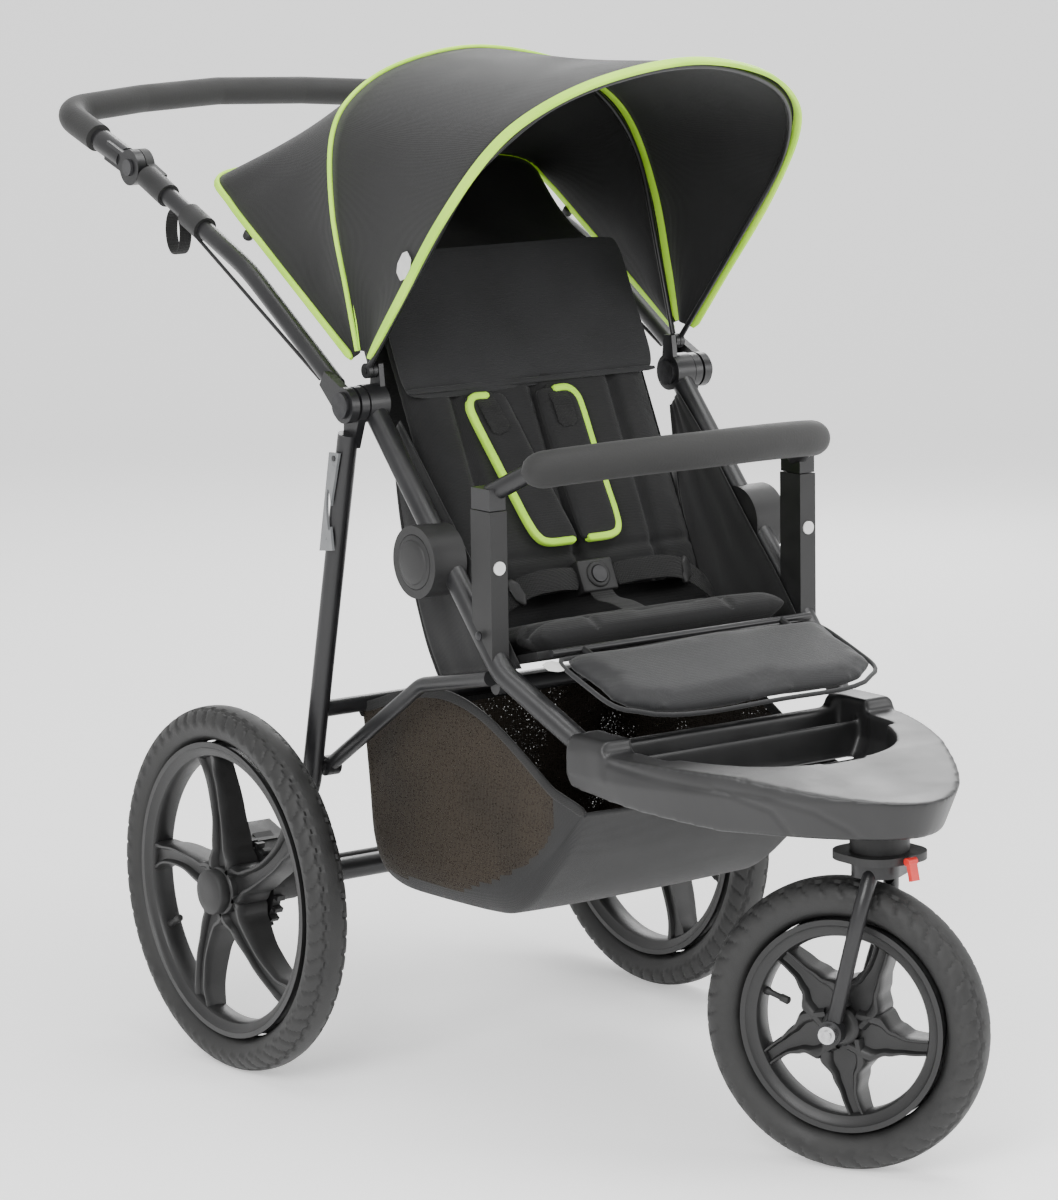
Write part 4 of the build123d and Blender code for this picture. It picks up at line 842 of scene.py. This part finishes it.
# ---------------------------------------------------------------- harness
# Two wadded shoulder pads edged with the bright tape, 25 mm webbing and a moulded buckle with
# a round press button.
webbing = cloth("webbing", (0.010, 0.010, 0.010), (0.017, 0.017, 0.017), 0.02, (0.60, 0.75),
                0.0018, 0.0004, 0.1)
harness_cloth = cloth("harness_cloth", (0.011, 0.011, 0.0112), (0.018, 0.018, 0.0185), 0.03,
                      (0.68, 0.82), 0.0012, 0.0002, 0.14)
shoulder_low, shoulder_high, shoulder_half = 0.108, 0.281, 0.0265
for side, top_x, foot_x, edge in (("right", -0.070, -0.030, -1), ("left", 0.024, 0.027, 1)):
    def lie(a, b, c, x, run, height, top_x=top_x, foot_x=foot_x):
        share = (run - shoulder_low) / (shoulder_high - shoulder_low)
        return x + foot_x + (top_x - foot_x) * share, run, height + 0.006 * (1 - share) ** 2

    shoulder = pad("shoulder_pad_" + side, 14, back_origin, back_up, back_out,
                   (shoulder_low, shoulder_high), shoulder_half, 0.0365, 0.0480, 0.01, lie)
    refine(shoulder)
    dress(shoulder, harness_cloth, "backrest")
    if side == "right":
        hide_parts("shoulder_straps")
    corners = []
    for run, x in ((shoulder_high - 0.002, -0.004), (shoulder_high - 0.002, 0.014),
                   (shoulder_high - 0.010, 0.0235), (shoulder_high - 0.026, 0.0265),
                   (0.20, 0.0262), (0.16, 0.0262), (shoulder_low + 0.028, 0.0262),
                   (shoulder_low + 0.010, 0.0235), (shoulder_low + 0.002, 0.013),
                   (shoulder_low + 0.001, -0.020)):
        share = (run - shoulder_low) / (shoulder_high - shoulder_low)
        corners.append(back_origin + side_way * (edge * x + foot_x + (top_x - foot_x) * share)
                       + back_up * run + back_out * (0.0432 + 0.006 * (1 - share) ** 2))
    trim_line = smooth_line(corners, 90)
    centre = sum(corners, Vector()) / len(corners)
    inward = [(centre - p).normalized() for p in trim_line]
    dress(band("shoulder_trim_" + side, trim_line, inward, 0.0040, 0.0042), neon_tape, "backrest")
    tail = smooth_line([back_origin + side_way * top_x + back_up * 0.286 + back_out * 0.040,
                        back_origin + side_way * top_x + back_up * 0.262 + back_out * 0.0495,
                        back_origin + side_way * (top_x * 0.8 + foot_x * 0.2) + back_up * 0.235
                        + back_out * 0.0495], 12)
    dress(band("shoulder_web_" + side, tail, [side_way] * 12, 0.0125, 0.0009), webbing, "backrest")

buckle_spot = Vector((0, -0.080, 0.545))
for side, sign in (("right", -1), ("left", 1)):
    belt = smooth_line([Vector((sign * 0.164, -0.078, 0.506)), Vector((sign * 0.140, -0.088, 0.526)),
                        Vector((sign * 0.100, -0.096, 0.547)), Vector((sign * 0.060, -0.092, 0.550)),
                        Vector((sign * 0.024, -0.083, 0.546))], 40)
    piece = dress(band("lap_web_" + side, belt, [back_up] * 40, 0.0125, 0.0010), webbing,
                  "front_frame")
    slide_line = belt[15:19]
    dress(band("lap_slider_" + side, slide_line, [back_up] * 4, 0.0160, 0.0034), moulding,
          "front_frame")
    if side == "right":
        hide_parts("lap_belt")
crotch = smooth_line([Vector((0, -0.158, 0.519)), Vector((0, -0.130, 0.524)), Vector((0, -0.104, 0.525)),
                      Vector((0, -0.091, 0.533))], 24)
dress(band("crotch_web", crotch, [side_way] * 24, 0.0150, 0.0011), webbing, "front_frame")

bpy.ops.object.select_all(action="DESELECT")
bpy.ops.mesh.primitive_cube_add(size=1)
buckle = bpy.context.object
buckle.name = "buckle_shell"
buckle.scale = (0.046, 0.019, 0.036)
bpy.ops.object.transform_apply(location=False, rotation=False, scale=True)
bpy.ops.object.mode_set(mode="EDIT")
for way in (1, -1):
    bpy.ops.mesh.select_all(action="DESELECT")
    mesh = bmesh.from_edit_mesh(buckle.data)
    for face in mesh.faces:
        face.select = face.normal.x * way > 0.9
    bmesh.update_edit_mesh(buckle.data)
    bpy.ops.mesh.inset(thickness=0.004, depth=0)
    bpy.ops.mesh.extrude_region_move(TRANSFORM_OT_translate={"value": (way * 0.006, 0, 0)})
bpy.ops.mesh.select_all(action="DESELECT")
mesh = bmesh.from_edit_mesh(buckle.data)
for face in mesh.faces:
    face.select = face.normal.y < -0.9
bmesh.update_edit_mesh(buckle.data)
bpy.ops.mesh.inset(thickness=0.004, depth=0.0015)
bpy.ops.object.mode_set(mode="OBJECT")
rounding = buckle.modifiers.new("round", "BEVEL")
rounding.width, rounding.segments = 0.0028, 3
bare(buckle)
bpy.ops.object.modifier_apply(modifier="round")
bpy.ops.object.shade_smooth_by_angle(angle=math.radians(40))
buckle.data.transform(Matrix.Translation(buckle_spot) @ Matrix.Rotation(-lean_back, 4, "X"))
dress(buckle, moulding, "front_frame")
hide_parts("buckle")
collar = turned("buckle_collar", buckle_spot + back_out * 0.0085, (0.0145, 0.0145, 0.0125, 0.0100, 0.0098),
                (0.0022, 0.0012, 0, -0.0020), back_out, 40, 0.0005)
dress(collar, moulding, "front_frame")

# ---------------------------------------------------------------- footrest
# A wadded pad over a bent wire frame, in the smoother cloth, piped all round its edge.
rest_drop = math.radians(19)
rest_origin = Vector((0, -0.234, 0.504))
rest_run = Vector((0, -math.cos(rest_drop), -math.sin(rest_drop)))
rest_up = Vector((0, -math.sin(rest_drop), math.cos(rest_drop)))


def calf_shape(a, b, c, x, run, height):
    front = max(0.0, b)
    x *= 1 - 0.075 * front ** 4
    run += 0.007 * (1 - a * a) * front - 0.010 * abs(a) ** 7 * front
    return x, run, height + 0.0012 * math.sin(5 * a + 1)


calf_pad = fill(pad("footrest_cover", 18, rest_origin, rest_run, rest_up, (0.010, 0.140), 0.172,
                    -0.0095, 0.0095, 0.012, calf_shape), 0.005)
dress(calf_pad, flap_cloth, "footrest")
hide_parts("footrest_pad")
rim_points = []
for a, b in ([(-1, n / 8) for n in range(-8, 8)] + [(n / 8, 1) for n in range(-8, 8)]
             + [(1, -n / 8) for n in range(-8, 8)] + [(-n / 8, -1) for n in range(-8, 8)]):
    x, run = 0.1735 * a * (1 - 0.045 * (a * b) ** 6), 0.075 + 0.0665 * b * (1 - 0.045 * (a * b) ** 6)
    x, run, height = calf_shape(a, b, 0, x, run, 0)
    rim_points.append(rest_origin + side_way * x + rest_run * run + rest_up * (height - 0.003))
dress(band("footrest_piping", rim_points, [rest_up] * len(rim_points), 0.0024, 0.0024, True, 0.9),
      flap_cloth, "footrest")
label_cloth = cloth("label_cloth", (0.66, 0.66, 0.65), (0.76, 0.76, 0.75), 0.01, (0.55, 0.65),
                    0.0012, 0.0002, 0.1)
tag = [rest_origin + side_way * x + rest_run * 0.022 + rest_up * (-0.002 - 0.2 * (0.172 + x) ** 2)
       for x in (-0.170, -0.177, -0.184, -0.192)]
dress(band("footrest_label", tag, [rest_run] * 4, 0.0110, 0.0006), label_cloth, "footrest")
spots = front_edge[14:19]
tag = [p + a * 0.0155 + Vector((-0.0030, 0, 0)) for p, a in zip(spots, front_across[14:19])]
dress(band("canopy_label", tag, front_across[14:19], 0.0110, 0.0006), label_cloth, "front_bow")

# ---------------------------------------------------------------- basket
# A tub of coarse open mesh hung between the braces and the nose, with a closed front and floor
# of the seat cloth and a bound rim.
def tub_spine(v):
    return tub_floor[min(int(v * 80 + 0.5), 80)]


def tub_rim(v):
    y = 0.110 + (-0.288 - 0.110) * v
    return Vector((0, y, 0.398 + 0.044 * math.sin(math.pi * min(1.0, v * 1.15)) ** 1.2 - 0.052 * v ** 2))


tub_floor = smooth_line([Vector((0, y, z)) for y, z in
                         ((0.110, 0.392), (0.109, 0.300), (0.104, 0.238), (0.075, 0.213), (0.0, 0.2095),
                          (-0.10, 0.210), (-0.160, 0.224), (-0.225, 0.278), (-0.288, 0.346))], 81)
tub_half = 0.170


def tub_place(u, v):
    side = 2 * u - 1
    reach = abs(side)
    wide = math.sin(min(reach / 0.56, 1) * math.pi / 2) ** 0.9
    climb = max(0.0, (reach - 0.40) / 0.60)
    climb = climb ** 1.25
    floor_point, rim_point = tub_spine(v), tub_rim(v)
    point = floor_point.lerp(rim_point, climb)
    sag = 0.006 * math.sin(math.pi * v) * (1 - reach ** 2)
    belly = 0.004 * math.sin(math.pi * climb) * math.sin(math.pi * v) * math.sin(7 * v + 2)
    point.x = math.copysign(tub_half * wide - belly, side)
    point.z += -sag * 0.4 + 0.0015 * math.sin(17 * v + 5 * side) * (1 - climb)
    return point


tub = shaped_grid("basket_tub", 96, 80, tub_place)
mesh_cloth = cloth("basket_mesh", (0.020, 0.015, 0.010), (0.034, 0.026, 0.018), 0.10, (0.65, 0.80),
                   0.0024, 0.0003, 0.05)
mesh_nodes, mesh_links = mesh_cloth.node_tree.nodes, mesh_cloth.node_tree.links
holes = mesh_nodes.new("ShaderNodeTexVoronoi")
holes.inputs["Scale"].default_value = 420
mesh_links.new(next(n for n in mesh_nodes if n.type == "TEX_COORD").outputs["Object"],
               holes.inputs["Vector"])
open_share = mesh_nodes.new("ShaderNodeMapRange")
open_share.inputs["From Min"].default_value, open_share.inputs["From Max"].default_value = 0.10, 0.42
open_share.inputs["To Min"].default_value, open_share.inputs["To Max"].default_value = 0.35, 1.0
mesh_links.new(holes.outputs["Distance"], open_share.inputs["Value"])
mesh_links.new(open_share.outputs["Result"],
               next(n for n in mesh_nodes if n.type == "BSDF_PRINCIPLED").inputs["Alpha"])
tub.data.materials.append(mesh_cloth)
tub.data.materials.append(seat_cloth)
for face in tub.data.polygons:
    c = face.center
    seam = -0.235 + 0.235 * max(0.0, min(1.0, (0.345 - c.z) / 0.137)) ** 2.2
    face.material_index = 1 if c.y < seam or (c.z < 0.222 and c.y < 0.085) else 0
thicken(tub, 0.0012)
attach(tub, "front_frame")
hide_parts("basket")
for name, rim_line in (("right", [tub_place(0, n / 60) for n in range(61)]),
                       ("left", [tub_place(1, n / 60) for n in range(61)]),
                       ("rear", [tub_place(n / 40, 0) for n in range(41)])):
    dress(band("basket_rim_" + name, rim_line, [Vector((0, 0, 1))] * len(rim_line), 0.0055, 0.0016),
          webbing, "front_frame")

# ---------------------------------------------------------------- foam grips and wrist strap
# Closed-cell foam tube pulled over the handlebar and the bumper bar, with a slightly dimpled
# skin.  The wrist strap is a loop of webbing round the right push tube.
foam = finish("foam", (0.012, 0.012, 0.0118), (0.020, 0.020, 0.0195), 0.04, (0.66, 0.82), 0.0022,
              0.0005, sheen=0.1)
paint(foam, "handle_foam")
bar_line = smooth_line([Vector((x, y, z)) for x, y, z in
                        ((-0.196, -0.222, 0.690), (-0.152, -0.243, 0.6955), (-0.080, -0.259, 0.699),
                         (0, -0.266, 0.700), (0.080, -0.259, 0.699), (0.152, -0.243, 0.6955),
                         (0.196, -0.222, 0.690))], 81)


def foam_place(u, v):
    at = round(v * 80)
    ahead, behind = bar_line[min(at + 1, 80)], bar_line[max(at - 1, 0)]
    run = (ahead - behind).normalized()
    over = Vector((0, 0, 1)) - run * run.z
    over.normalize()
    end = min(at, 80 - at) / 5
    radius = 0.0190 * (math.sqrt(max(0.0, 1 - (1 - end) ** 2)) if end < 1 else 1) + 0.00005
    turn = 2 * math.pi * u
    return bar_line[at] + (over * math.cos(turn) + run.cross(over) * math.sin(turn)) * radius


bar_foam = shaped_grid("bumper_grip", 32, 80, foam_place)
dress(bar_foam, foam, "bumper_bar")
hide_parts("bumper_foam")
strap_low, strap_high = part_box("wrist_strap")
loop_spot = Vector((-0.2275, (strap_low.y + strap_high.y) / 2 - 0.006, strap_low.z + 0.026))
loop = [loop_spot + Vector((0, 0.0145 * math.sin(t), 0.0245 * math.cos(t)))
        for t in (2 * math.pi * n / 48 for n in range(48))]
strap = dress(band("wrist_loop", loop, [side_way] * 48, 0.0075, 0.0010, True), webbing,
              "push_frame")
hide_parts("wrist_strap")
